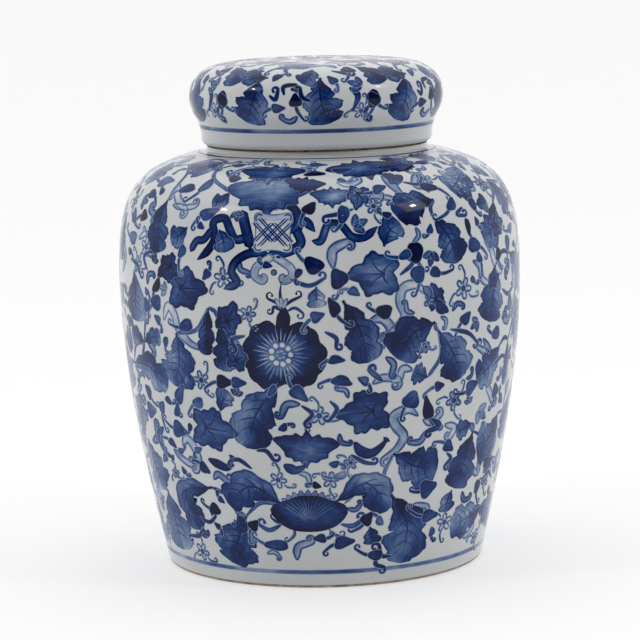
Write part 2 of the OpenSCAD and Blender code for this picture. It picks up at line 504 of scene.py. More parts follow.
# Where the points of a film lie between its two edges, or from the centre of a blot to its outline
ACROSS_LEAF = np.array([0, 0.04, 0.17, 0.33, 0.5, 0.67, 0.83, 0.96, 1])
ACROSS_SMALL_LEAF = np.array([0, 0.1, 0.3, 0.5, 0.7, 0.9, 1])
ACROSS_STROKE = np.array([0, 0.15, 0.5, 0.85, 1])
ACROSS_THREAD = np.array([0, 0.5, 1])
RINGS = np.array([0.18, 0.36, 0.54, 0.7, 0.82, 0.92, 1.0])
SMALL_RINGS = np.array([0.45, 0.82, 1.0])
SMALL_BLOT = 7.0
THREAD_WIDTH = 1.7

# How far wet colour bleeds past a stroke, and the rim that its faded edge starts from
BLEED = 0.45
BLED_RIM = 0.17

# The flat map of a wall: the strokes fill it up to TOP_V, and their undersides lie above UNDER_V
TOP_V = 0.98
UNDER_V = 0.985

CENTRE = np.zeros(2)


def path_through(points, count):
    """A smooth line through given points (a Catmull-Rom curve), spaced evenly along its length."""
    points = np.asarray(points, float)
    ends = np.vstack([2 * points[0] - points[1], points, 2 * points[-1] - points[-2]])
    t = np.linspace(0, len(points) - 1, 16 * count)
    i = np.minimum(t.astype(int), len(points) - 2)
    f = (t - i)[:, None]
    a, b, c, d = ends[i], ends[i + 1], ends[i + 2], ends[i + 3]
    line = 0.5 * (2 * b + (c - a) * f + (2 * a - 5 * b + 4 * c - d) * f ** 2
                  + (3 * b - a - 3 * c + d) * f ** 3)
    run = along(line)
    even = np.linspace(0, run[-1], count)
    return np.column_stack([np.interp(even, run, line[:, 0]), np.interp(even, run, line[:, 1])])


def heading(degrees):
    """Unit direction at an angle from the right, towards up."""
    return np.array([math.cos(math.radians(degrees)), math.sin(math.radians(degrees))])


class Painting:
    """The strokes of one painted piece. Each is a closed film a few hundredths of a millimetre proud of the
    glaze, so thin that it reads as colour under it. Flat millimetres lie round a stroke's anchor."""

    def __init__(self, wall, lift, seed, bleed=BLEED):
        self.wall = wall
        self.lift = lift
        self.bleed = bleed
        self.rim_start = BLED_RIM if bleed else FADE_END
        self.strokes = {}
        self.blots = {}
        self.random = np.random.default_rng(seed)
        self.count = 0

    def store(self, shelf, key, places, values, brush, extra=0.0):
        """Keeps a stroke on a shelf with others of its shape, each a hair higher than the one before it."""
        self.count += 1
        lift = self.lift + extra + LIFT_STEP * self.count
        shelf.setdefault(key, []).append((places, values, brush, lift))

    def brushed(self, onward, sideways):
        """Where the streaks of a stroke are read, on a sheet of its own."""
        return np.stack([onward, sideways, self.random.uniform(0, 90) + 0 * sideways], -1)

    def film(self, anchor, left, right, tone, ink=0.3, across=ACROSS_STROKE, extra=0.0):
        """A film ruled between two edges in flat millimetres. Its tone may vary along and across; rim is the
        distance to the nearer edge."""
        width = np.hypot(*(right - left).T)
        spread = self.bleed * (right - left) / np.maximum(width, 0.05)[:, None]
        spread = spread * np.minimum(1, width / 0.2)[:, None]
        left, right = left - spread, right + spread
        grid = left[:, None] + (right - left)[:, None] * across[None, :, None]
        width = np.hypot(*(right - left).T)
        rim = np.minimum(across, 1 - across)[None] * width[:, None] + self.rim_start
        onward = along((left + right) / 2)[:, None] + 0 * rim
        brush = self.brushed(onward, (across[None] - 0.5) * width[:, None])
        values = np.stack(np.broadcast_arrays(tone, rim, ink), -1)
        self.store(self.strokes, rim.shape, self.wall.rolled(grid, anchor), values, brush, extra)

    def blot(self, anchor, shape, tone, ink=0.3, extra=0.0, turn=0.0, centre=CENTRE):
        """A film spread from its centre out to a closed shape round it, in flat millimetres: rings of the
        shape scaled about the centre, fewer of them in a small blot."""
        outline = centre + shape
        reach = np.hypot(*(outline - centre).T)
        rings = RINGS if reach.max() > SMALL_BLOT else SMALL_RINGS
        outline = centre + (outline - centre) * (1 + self.bleed / reach)[:, None]
        grid = centre + (outline - centre)[:, None] * rings[None, :, None]
        reach = reach + self.bleed
        rim = (1 - rings)[None] * reach[:, None] + self.rim_start
        way = heading(turn)
        brush = self.brushed((grid - centre) @ way, (grid - centre) @ quarter(way))
        middle_tone = tone
        if np.ndim(tone):
            tone = np.broadcast_to(tone, (len(outline), len(RINGS)))[:, np.searchsorted(RINGS, rings - 0.05)]
            middle_tone = tone[:, 0].mean()
        places = self.wall.rolled(np.vstack([grid.reshape(-1, 2), centre]), anchor)
        values = np.stack(np.broadcast_arrays(tone, rim, ink), -1).reshape(-1, 3)
        values = np.vstack([values, [middle_tone, reach.min() + self.rim_start, ink]])
        brush = np.vstack([brush.reshape(-1, 3), [0, 0, brush[0, 0, 2]]])
        self.store(self.blots, (len(outline), len(rings)), places, values, brush, extra)

    def line(self, points, width, tone, ink=0.3, count=26, taper=(0.25, 0.6), knob=0.0, extra=0.0, hook=0.0,
             anchor=None):
        """One brush stroke through places (angle, run), or through flat millimetres if it has an anchor: it
        swells over the first share of taper, thins over the last, and ends in a round knob or in a hook that
        winds inwards."""
        flat = np.asarray(points, float)
        if anchor is None:
            anchor = flat.mean(0)
            flat = self.wall.flat(flat, anchor)
        if hook:
            flat = np.vstack([flat, hook_end(flat, hook)])
        middle = path_through(flat, count)
        t = np.linspace(0, 1, count)
        swell = np.minimum(1, np.maximum(t, 1e-3) / taper[0]) ** 0.6
        thin = np.minimum(1, np.maximum(1 - t, 1e-3) / taper[1]) ** 0.7
        half = 0.5 * width * np.maximum(swell * thin, knob * np.exp(-((1 - t) / 0.09) ** 2))
        half[[0, -1]] = 0.05 * width
        side = left_of(middle, 1e-9) * half[:, None]
        across = ACROSS_THREAD if width < THREAD_WIDTH else ACROSS_STROKE
        self.film(anchor, middle + side, middle - side, tone, ink, across, extra)

    def pen(self, anchor, points, width, tone, taper, count, extra=0.0):
        """A fine line of even colour through flat millimetres."""
        self.line(points, width, tone, 0.0, count, taper, extra=extra, anchor=anchor)

    def unrolled(self, places):
        """Where strokes lie in the flat map of the wall: u goes once round, v up the run. A stroke that meets
        either side of the map is pushed back whole into it."""
        u = (places[..., 0] + 90.0) / 360.0
        u = u - np.floor(u.mean(1, keepdims=True))
        u = u - np.maximum(u.max(1, keepdims=True) - 1, 0) - np.minimum(u.min(1, keepdims=True), 0)
        return np.stack([u, TOP_V * places[..., 1] / self.wall.run[-1]], -1)

    def piece(self, name, body, turns=(0,)):
        """One mesh of every stroke, at each of the turns."""
        points, normals, faces, uvs, values, brushes = [], [], [], [], [], []
        start = 0
        shelves = [(group, ruled_faces(*shape), ruled_edge(*shape)) for shape, group in self.strokes.items()]
        shelves += [(group, blot_faces(*shape), blot_edge(*shape)) for shape, group in self.blots.items()]
        for group, template, edge in shelves:
            places = np.array([stroke[0].reshape(-1, 2) for stroke in group])
            value, brush = (np.array([stroke[k].reshape(-1, 3) for stroke in group]) for k in (1, 2))
            lift = np.array([stroke[3] for stroke in group])[:, None]
            for turn in turns:
                moved = places + np.array([turn, 0.0])
                top, normal = self.wall.at(moved, lift)
                foot, foot_normal = self.wall.at(moved[:, edge], FILM_FOOT)
                whole = np.concatenate([top, foot], 1)
                spread = self.unrolled(np.concatenate([moved, moved[:, edge]], 1))
                size = whole.shape[1]
                offset = start + size * np.arange(len(whole))[:, None, None]
                for shape in template:
                    faces.append((shape[None] + offset).reshape(-1, shape.shape[1]))
                    corner = spread[:, shape]
                    under = (shape >= top.shape[1]).any(1)
                    corner[:, under, :, 1] = UNDER_V + (1 - UNDER_V) * corner[:, under, :, 1]
                    uvs.append(corner.reshape(-1, 2))
                points.append(whole.reshape(-1, 3))
                normals.append(np.concatenate([normal, foot_normal], 1).reshape(-1, 3))
                values.append(np.concatenate([value, value[:, edge]], 1).reshape(-1, 3))
                brushes.append(np.concatenate([brush, brush[:, edge]], 1).reshape(-1, 3))
                start += size * len(whole)
        fields = [(label, "FLOAT", "value", column)
                  for label, column in zip(("tone", "rim", "ink"), np.vstack(values).T)]
        fields.append(("brush", "FLOAT_VECTOR", "vector", np.vstack(brushes)))
        mesh_piece(name, np.vstack(points), faces, cobalt, body, np.vstack(uvs),
                   np.vstack(normals), fields)


def ruled_edge(rows, columns):
    """Which top points of a ruled film its foot repeats: the two long edges."""
    row = np.arange(rows) * columns
    return np.concatenate([row, row + columns - 1])


def ruled_faces(rows, columns):
    """Faces of a ruled film: its top, its two sides, its foot and its two ends."""
    i, j = np.meshgrid(np.arange(rows - 1), np.arange(columns - 1), indexing="ij")
    a = (i * columns + j).ravel()
    top = np.column_stack([a, a + 1, a + columns + 1, a + columns])
    low = rows * columns + np.arange(rows - 1)
    high = low + rows
    left, right = np.arange(rows - 1) * columns, np.arange(rows - 1) * columns + columns - 1
    foot = np.column_stack([low, low + 1, high + 1, high])
    side_a = np.column_stack([left, left + columns, low + 1, low])
    side_b = np.column_stack([right, high, high + 1, right + columns])
    first, last = rows * columns, rows * columns + rows - 1
    end = (rows - 1) * columns
    cap_a = np.array([[first, first + rows, *range(columns - 1, -1, -1)]])
    cap_b = np.array([[last + rows, last, *range(end, end + columns)]])
    return [np.vstack([top, foot, side_a, side_b]), np.vstack([cap_a, cap_b])]


def blot_edge(segments, rings):
    """Which top points of a blot its foot repeats: the outline, then the centre."""
    return np.append(np.arange(segments) * rings + rings - 1, segments * rings)


def blot_faces(segments, rings):
    """Faces of a blot: a fan round its centre, rings of quads, its side and the fan of its foot."""
    turn = np.arange(segments)
    onward = (turn + 1) % segments
    centre, foot = segments * rings, segments * rings + 1
    under = foot + segments
    fan = np.column_stack([np.full(segments, centre), turn * rings, onward * rings])
    below = np.column_stack([np.full(segments, under), foot + onward, foot + turn])
    quads = np.vstack([np.column_stack([turn * rings + k, turn * rings + k + 1, onward * rings + k + 1,
                                        onward * rings + k]) for k in range(rings - 1)])
    side = np.column_stack([turn * rings + rings - 1, foot + turn, foot + onward, onward * rings + rings - 1])
    return [np.vstack([fan, below]), np.vstack([quads, side])]


def hook_end(flat, radius, winding=300.0):
    """Points of a spiral that carries a line on from its end, turning left for a positive radius."""
    way = flat[-1] - flat[-2]
    way = way / np.hypot(*way)
    left = quarter(way) * np.sign(radius)
    turn = np.radians(np.linspace(0, winding, 9))[1:, None]
    reach = abs(radius) * (1 - 0.55 * turn / turn[-1])
    centre = flat[-1] + left * abs(radius)
    return centre - left * np.cos(turn) * reach + way * np.sin(turn) * reach


# ---------------------------------------------------------------- motifs

# Outlines of uneven blots and petals: (angle, radius) in degrees and millimetres round the centre
LOBED_LEAF = [
    (0, 7), (20, 10), (38, 11.2), (56, 9.2), (78, 8.4), (98, 10), (116, 10.6), (134, 9), (154, 10.5),
    (177, 14.5), (197, 10.5), (213, 9.2), (231, 10.8), (250, 10), (270, 8), (290, 9.4), (314, 11.8),
    (336, 10),
]
BAT = [
    (0, 12), (12, 15.5), (28, 12.5), (40, 9.5), (55, 9), (68, 6.6), (80, 7.5), (90, 9.5), (100, 7.5),
    (112, 6.6), (125, 9), (140, 9.5), (152, 12.5), (168, 15.5), (180, 12), (190, 10), (202, 10.5), (214, 8),
    (228, 8.2), (242, 6.6), (256, 6.8), (270, 9), (284, 6.8), (298, 6.6), (312, 8.2), (326, 8), (338, 10.5),
    (350, 10),
]
HEART_FLOWER = [
    (0, 18.5), (22, 17), (45, 17.2), (70, 15), (90, 10), (110, 15.5), (135, 17.4), (158, 17.2), (180, 18.5),
    (205, 17.2), (230, 17), (252, 15.2), (270, 12), (290, 15), (312, 16.6), (335, 17.2),
]
LOTUS_BOWL = [
    (5, 18), (30, 12), (60, 9.5), (90, 8.5), (120, 9.5), (150, 12), (176, 18), (200, 15), (225, 12),
    (250, 10), (270, 9.5), (290, 10), (315, 12), (340, 15.5),
]
KNOT_GROUND = [(side + turn, radius) for side in range(0, 360, 90)
               for turn, radius in ((0, 8.2), (22, 9.2), (45, 12.2), (68, 9.2))]

# Angles of the lobes of LOBED_LEAF; the third is the long one at its tip
LOBES = (38, 116, 177, 231, 314)
LONG_LOBE = 177


def outline_of(knots, turn=0.0, scale=1.0, mirrored=False, count=72):
    """A closed outline round the origin whose radius runs smoothly through (angle, radius) knots."""
    knots = np.array(knots, float)
    if mirrored:
        knots = np.column_stack([np.mod(180 - knots[:, 0], 360), knots[:, 1]])
    knots = knots[np.argsort(np.mod(knots[:, 0], 360))]
    angle = np.concatenate([knots[-2:, 0] - 360, knots[:, 0], knots[:2, 0] + 360])
    radius = np.concatenate([knots[-2:, 1], knots[:, 1], knots[:2, 1]])
    slope = np.gradient(radius, angle)
    phi = np.linspace(0, 360, count, endpoint=False) + knots[0, 0]
    i = np.searchsorted(angle, phi, side="right") - 1
    span = angle[i + 1] - angle[i]
    f = (phi - angle[i]) / span
    reach = ((2 * f ** 3 - 3 * f ** 2 + 1) * radius[i] + (f ** 3 - 2 * f ** 2 + f) * span * slope[i]
             + (3 * f ** 2 - 2 * f ** 3) * radius[i + 1] + (f ** 3 - f ** 2) * span * slope[i + 1])
    phi = np.radians(phi + turn)
    return scale * np.column_stack([reach * np.cos(phi), reach * np.sin(phi)])


def frilled(outline, least, depth, waves, start):
    """An outline with small rounded teeth: its radius times the least plus depth times a rectified sine."""
    bearing = np.arctan2(outline[:, 1], outline[:, 0])
    return outline * (least + depth * np.abs(np.sin(waves * bearing + start)))[:, None]


def oval(length, width, turn, point=0.0, count=26):
    """A closed oval, drawn out to a point at its head by the given share."""
    phi = np.linspace(0, 2 * np.pi, count, endpoint=False)
    x = 0.5 * length * np.cos(phi)
    y = 0.5 * width * np.sin(phi) * (1 - point * np.cos(phi))
    way = heading(turn)
    return np.column_stack([x * way[0] - y * way[1], x * way[1] + y * way[0]])


def leaf(sheet, veins, stem, tip, width, bow, tone, teeth=8, lobes=3.0, small=False):
    """A vine leaf: edges on both sides of a bowed midrib, their distance from it t^a (1-t)^b times a
    rectified sine for its lobes plus a saw for its teeth, one half darker than the other, and veins that
    fan out from the midrib."""
    anchor = (np.array(stem, float) + np.array(tip, float)) / 2
    ends = sheet.wall.flat(np.array([stem, tip], float), anchor)
    way = ends[1] - ends[0]
    middle = (ends[0] + ends[1]) / 2 + bow * quarter(way) / np.hypot(*way)
    rows, across = (24, ACROSS_SMALL_LEAF) if small else (44, ACROSS_LEAF)
    rib = path_through([ends[0], middle, ends[1]], rows)
    side = left_of(rib, 1e-9)
    t = np.linspace(0, 1, rows)
    blade = np.clip((t - 0.05) / 0.95, 0, 1)
    shape = blade ** 0.95 * (1 - blade) ** 0.42
    shape /= shape.max()
    edges = []
    for sign in (1, -1):
        phase, lobe = sheet.random.uniform(0, 1), sheet.random.uniform(0, 3.14)
        saw = np.mod(t * teeth + phase, 1.0)
        scallop = np.abs(np.sin(np.pi * lobes * t + lobe)) ** 0.55
        tooth = 1.06 + 0.12 * (saw - 0.5) + 0.48 * (scallop - 0.8)
        half = 0.5 * width * np.maximum(shape * tooth, 0.05 * (1 - t))
        half[-1] = 0.1
        edges.append(rib + sign * side * half[:, None])
    shade = 0.13 * np.tanh(6 * (across - 0.5)) * sheet.random.choice([-1, 1])
    tones = 0.03 + tone + shade[None] - 0.20 * (t[:, None] - 0.5) + 0.06 * np.sin(9 * t[:, None])
    sheet.film(anchor, *edges, tones, ink=0.26, across=across)
    veins.pen(anchor, rib[2:-3:4], 0.9, tone + 0.28, (0.1, 0.5), 16)
    for share in ((0.35, 0.6) if small else (0.28, 0.42, 0.56, 0.7)):
        start = int(share * (rows - 1))
        end = min(start + rows // 6, rows - 2)
        for edge in edges:
            goal = rib[end] + 0.72 * (edge[end] - rib[end])
            bent = (rib[start] + goal) / 2 + 0.12 * (edge[start] - rib[start])
            veins.pen(anchor, [rib[start], bent, goal], 0.62, tone + 0.22, (0.05, 0.7), 10)


def lobed_leaf(sheet, veins, at, turn, scale, mirrored, tone):
    """A broad leaf of five lobes: an outline of uneven radii with small teeth, half of it darker, and a vein
    from its heart to the tip of each lobe."""
    outline = outline_of(LOBED_LEAF, turn, scale, mirrored)
    bearing = np.arctan2(outline[:, 1], outline[:, 0])
    half = 0.08 * np.sin(bearing + sheet.random.uniform(0, 6.28))[:, None] * RINGS[None]
    sheet.blot(at, frilled(outline, 0.95, 0.13, 6.5, scale * 9), tone - 0.06 + half + 0.16 * RINGS[None] ** 3,
               0.25, turn=turn)
    stem = heading(turn + (180 if mirrored else 0)) * 5 * scale
    for lobe in LOBES:
        way = heading(turn + (180 - lobe if mirrored else lobe)) * (11.5 if lobe == LONG_LOBE else 8) * scale
        veins.pen(at, [stem * 0.6, way * 0.35 + stem * 0.1, way], 0.8, tone + 0.26, (0.1, 0.7), 14)


def winged_blot(sheet, at, turn, scale, tone):
    """A dark blot with two spread wings, paler at its heart."""
    tones = tone + np.interp(RINGS, [0.2, 0.7, 1.0], [-0.16, 0.02, 0.12])
    sheet.blot(at, frilled(outline_of(BAT, turn, scale), 0.97, 0.06, 8, scale), tones, 0.26, turn=turn)


def sprig(sheet, at, size, turn, tone):
    """Three small leaves that open from one point like a trefoil."""
    for fan, reach in ((-62, 0.8), (0, 1.0), (58, 0.85)):
        sheet.blot(at, oval(size * reach * 1.25, size * 0.62, turn + fan, 0.25), tone, 0.22, turn=turn + fan,
                   centre=heading(turn + fan) * size * reach * 0.55)


def bud(sheet, at, length, width, turn, tone, stalk=7.0):
    """A dark bud: a pointed oval on a thin stalk that leaves its tail in a bow and ends in a hook."""
    outline = oval(length, width, turn, 0.22)
    bumps = 3 * np.linspace(0, 2 * np.pi, len(outline), endpoint=False) + sheet.random.uniform(0, 6.28)
    tone = tone + 0.2 * (tone > 0.81)
    sheet.blot(at, outline * (1 + 0.15 * np.sin(bumps))[:, None], tone, 0.15, 0.01, turn)
    if stalk:
        back, bow = -heading(turn), sheet.random.choice([-1.0, 1.0])
        side = bow * quarter(back)
        tail = back * length * 0.4
        points = [tail, tail + back * stalk * 0.45 + side * stalk * 0.14,
                  tail + back * stalk + side * stalk * 0.5]
        sheet.line(points, 1.15, min(tone, 0.62), 0.1, anchor=at, taper=(0.1, 0.8), knob=0.7,
                   hook=bow * (0.7 + 0.1 * stalk))


def floret(sheet, at, size, petals=5):
    """A small flower drawn in line: loops of very pale wash with dark outlines, round a dotted heart."""
    spin = sheet.random.uniform(0, 360)
    for k in range(petals):
        turn = spin + 360 * k / petals
        sheet.blot(at, oval(size, size * 0.62, turn, -0.2), 0.1, 0.62, turn=turn,
                   centre=heading(turn) * size * 0.62)
    sheet.blot(at, oval(size * 0.5, size * 0.5, 0), 0.35, 0.5, 0.01)
    for k in range(3):
        turn = spin + 40 + 120 * k
        way = heading(turn)
        sheet.line([way * size * 0.9, way * size * 1.5, way * size * 2.0 + heading(turn + 70) * size * 0.5],
                   0.6, 0.5, 0.1, anchor=at, knob=0.8, hook=size * 0.3, count=22)


def heart_flower(sheet, fine):
    """The big flower: two dark halves round a paler heart of pearls, with fine rays, on a dark neck."""
    at = np.array([-10.5, 111.0])
    tones = np.interp(RINGS, [0.3, 0.45, 0.62, 0.8, 1], [0.50, 0.58, 0.84, 1.02, 1.08])
    sheet.blot(at, frilled(outline_of(HEART_FLOWER, scale=1.08), 0.97, 0.06, 7, 0.6), tones, 0.1)
    heart = np.array([-1.0, 0.7])
    for k in range(30):
        way = heading(12 * k + 4)
        reach = 10.5 + 1.5 * ((k * 7) % 3)
        fine.pen(at, [heart + way * 6, heart + way * 8, heart + way * reach], 0.45, 0.3, (0.2, 0.7), 10, 0.02)
    for k in range(9):
        fine.blot(at, oval(3.3, 3.3, 0), 0.06, 0.62, 0.03, centre=heart + 4.5 * heading(40 * k))
    for k in range(6):
        fine.blot(at, oval(1.7, 1.5, 0), 0.1, 0.45, 0.032, centre=heart + 1.7 * heading(60 * k + 15))
    neck = [(-10.5, 117), (-10.4, 124), (-10, 129), (-9.8, 134)]
    sheet.line(neck, 6.4, 1.0, 0.1, taper=(0.1, 0.3), extra=0.014)
    for hook, points in ((-1.8, [(-10, 132), (-11.5, 135), (-14, 137)]),
                         (1.6, [(-10, 133), (-8, 136), (-5.5, 138)]),
                         (-1.4, [(-10, 131), (-12.5, 133.5), (-13, 131)]),
                         (-1.8, [(-9.5, 131), (-7, 133), (-5, 131)]),
                         (0.0, [(-10.2, 134), (-10.8, 139), (-10.4, 145)])):
        sheet.line(points, 1.5, 0.7, 0.1, hook=hook, knob=1.0)
    for turn in (60, 90, 120):
        centre = np.array([0.0, 21.5]) + 3.0 * heading(turn)
        fine.blot(at, oval(5.4, 2.3, turn, 0.25), 0.12, 0.5, 0.02, turn, centre)


def lotus(sheet, fine):
    """The lotus near the foot: a dark bowl of petals with pale rays, pointed petals standing out of it."""
    at = np.array([-5.0, 36.0])
    for k, turn in enumerate(range(30, 151, 15)):
        sheet.blot(at, oval(10.5, 5.4, turn * 0.7 + 27, 0.4), 0.34 + 0.04 * (k % 2), 0.4, turn=turn,
                   centre=7.4 * heading(turn) * np.array([1.35, 0.85]))
    tones = np.interp(RINGS, [0.4, 0.7, 0.9], [0.70, 0.80, 0.92])
    sheet.blot(at, outline_of(LOTUS_BOWL, count=44), tones, 0.14, 0.02)
    for k in range(13):
        way = heading(22 + 11.3 * k)
        ray = [way * 2 - [0, 5], way * 6 - [0, 3], way * 10.5 * np.array([1.25, 0.8])]
        fine.pen(at, ray, 0.36, 0.42, (0.3, 0.8), 10, 0.02)
    for hook, points in ((-1.3, [(-12, 32), (-15, 31), (-17, 33)]), (1.6, [(1, 28), (3, 25), (5, 24)]),
                         (-1.2, [(-10, 29), (-10, 25), (-12, 22)]), (0.0, [(6, 40), (9, 44), (12, 46)])):
        sheet.line(points, 1.6, 0.5, 0.1, hook=hook, knob=0.9)


def endless_knot(fine):
    """An endless knot on a bare ground with a loop at each corner: a lattice of cords of two thin lines."""
    at = np.array([-12.8, 167.0])
    fine.blot(at, outline_of(KNOT_GROUND), 0.04, 0.5)
    for k in (-1, 0, 1):
        for lean in (1, -1):
            for gap in (-0.75, 0.75):
                middle = np.array([k * 4.4 + gap, 0.0])
                reach = np.array([(6.6 - abs(k) * 2.2) * lean, 6.6 - abs(k) * 2.2])
                fine.pen(at, [middle - reach, middle, middle + reach], 0.75, 0.62, (0.02, 0.02), 14, 0.01)
    for turn in (45, 135, 225, 315):
        ring = 8.6 * heading(turn) + oval(4.6, 3.6, turn, count=13)
        fine.pen(at, ring[[3, 2, 1, 0, 12, 11, 10]], 0.7, 0.6, (0.02, 0.02), 18, 0.01)


def ribbons(sheet):
    """The broad ribbons that fly from the knot, darker along both edges."""
    tones = np.array([0.22, 0.10, -0.08, 0.08, 0.22])
    for width, tone, points in RIBBONS:
        sheet.line(points, width, tone + tones, 0.16, taper=(0.08, 0.12), count=46)


def cloud_head(sheet, fine):
    """The cloud head under the knot: a band of wash bent to a point, both ends curled in over a pearl."""
    half = ((0, 156.5), (2.4, 154), (4.8, 151), (5.2, 147.5), (3.6, 145.5))
    for sign in (-1, 1):
        points = [(-12.6 + sign * x, y) for x, y in half]
        sheet.line(points, 4.0, 0.16, 0.5, taper=(0.05, 0.2), hook=-sign * 1.6, count=36)
    fine.blot((-12.4, 149.0), oval(3.0, 3.0, 0), 0.42, 0.4)


# ---------------------------------------------------------------- where the motifs lie

# Ribbons of the knot: width, tone and places
RIBBONS = [
    (4.2, 0.76, [(-19, 159), (-20, 164), (-23.5, 163.5), (-25.5, 168), (-27.5, 173), (-31, 171), (-30, 164),
     (-32, 158), (-35.5, 153.5)]),
    (3.8, 0.76, [(-31, 168), (-33.5, 163), (-36, 162), (-38, 157)]),
    (5.2, 0.74, [(-19, 160), (-20.5, 168), (-22.5, 177)]),
    (4.2, 0.72, [(-14, 157.5), (-19, 157.5), (-23, 154), (-24.5, 149), (-23, 144), (-27, 141)]),
    (4.0, 0.72, [(-14, 178), (-10, 180), (-6.5, 177), (-6, 171), (-8.5, 166)]),
    (4.4, 0.72, [(-14, 157.5), (-9, 158), (-5, 162), (-6, 168), (-4, 172), (-1, 167)]),
    (3.8, 0.72, [(-2, 163), (0.5, 163), (2.5, 170), (6, 170), (9, 164.5), (12.5, 164), (16.5, 168.5)]),
]

# Tones below run paler towards the sides of the panel, past about 60 degrees round: painted glare of the
# slanting glaze, over the motifs' own differences of tone
# Leaves of the jar: stem and tip as (angle, run), width and bow in millimetres, tone
JAR_LEAVES = [
    ((36, 179), (23, 171), 15, -3, .74), ((34, 171), (41, 149), 15, 2, .64),
    ((63, 175), (53, 157), 15, 3, .66), ((58, 145), (55, 119), 19, 0, .56),
    ((58, 199), (44, 183), 18, 3, .50), ((67, 185), (73, 168), 14, 0, .48),
    ((68, 149), (80, 134), 18, 0, .46), ((6, 136), (13, 107), 15, 2, .64),
    ((33, 123), (21, 108), 19, -4, .62), ((34, 119), (43, 95), 18, 2, .56),
    ((-51, 181), (-51, 155), 14, -2, .72), ((-32, 132), (-34, 110), 8, 0, .74),
    ((-29, 127), (-28, 103), 13, 3, .62), ((-64, 144), (-64, 121), 20, 0, .50),
    ((-44, 119), (-47, 94), 20, 3, .54), ((-70, 100), (-50, 92), 14, 5, .50),
    ((-12, 98), (-23, 67), 19, -3, .60), ((3, 41), (20, 35), 14, 12, .60),
    ((-13, 40), (-32, 39), 16, -9, .62), ((21, 43), (26, 8), 21, 6, .62), ((-26, 33), (-34, 9), 21, 0, .62),
    ((-37, 46), (-46, 23), 14, -14, .60), ((-61, 40), (-59, 10), 22, 0, .52),
    ((-69, 63), (-64, 39), 21, 0, .46), ((21, 63), (37, 53), 19, -2, .62), ((51, 68), (46, 41), 19, 0, .58),
    ((66, 73), (54, 59), 20, 4, .50), ((66, 27), (46, 22), 16, 0, .54), ((62, 27), (79, 22), 15, 0, .46),
    ((62, 107), (50, 93), 16, 2, .52), ((68, 108), (68, 86), 8, 0, .44), ((77, 82), (73, 58), 16, 0, .46),
    ((-60, 112), (-51, 116), 8, 1, .52), ((-60, 112), (-69, 114), 9, -1, .46),
    ((-29, 34), (-31, 26), 7, 3, .64), ((-60, 205), (-43, 198), 15, 3, .48),
    ((-42, 212), (-54, 205), 11, 3, .62), ((43, 213), (54, 206), 10, 2, .56),
    ((-76, 170), (-80, 148), 17, 0, .48), ((-80, 110), (-76, 86), 17, 0, .48),
    ((-78, 52), (-84, 34), 17, 0, .48), ((86, 190), (80, 168), 17, 0, .5),
    ((84, 124), (79, 100), 18, 0, .48), ((82, 54), (86, 34), 16, 0, .48),
    ((-78, 204), (-68, 188), 15, 0, .5), ((-75, 32), (-79, 10), 14, 0, .5),
    ((66, 210), (72, 198), 13, 0, .5), ((-88, 96), (-88, 72), 15, 2, .55),
    ((-88, 150), (-90, 126), 16, 2, .55), ((28, 213), (36, 203), 12, 2, .66),
    ((60, 52), (66, 46), 9, 0, .50), ((-28, 186), (-33, 180), 8, 2, .5), ((31, 98), (26, 101), 9, 0, .58),
    ((50, 72), (43, 69), 9, 0, .58),
]

# Broad lobed leaves of the jar: place, turn, scale, mirrored, tone
JAR_LOBED = [
    ((16, 147), 0, .98, False, .66), ((-40.5, 140), 0, .95, True, .74), ((-35, 75), -8, 1.0, True, .60),
    ((13, 84), 8, 1.0, False, .62), ((-26, 127), 60, .62, True, .76), ((-46, 149), 30, .62, False, .84),
    ((33, 134), 100, .5, True, .72), ((12, 184), 80, .5, False, .72), ((75, 118), 20, .8, True, .46),
    ((-24, 109), 70, .5, True, .62), ((57, 139), 50, .4, False, .86), ((-71, 76), 40, .8, False, .46),
    ((61, 163), 10, .5, True, .62),
]

# Winged blots of the jar: place, turn, scale, tone
JAR_BATS = [
    ((-5, 67), -4, .98, .62), ((-15, 186), 2, 1.38, .46), ((-16.5, 200), 0, 1.0, .80),
    ((17, 203), 8, 1.12, .72), ((4, 183.5), 0, .62, .60), ((32, 203), 10, .72, .74),
    ((-4.5, 191), -10, .62, .76), ((-80, 130), 20, .7, .5),
]
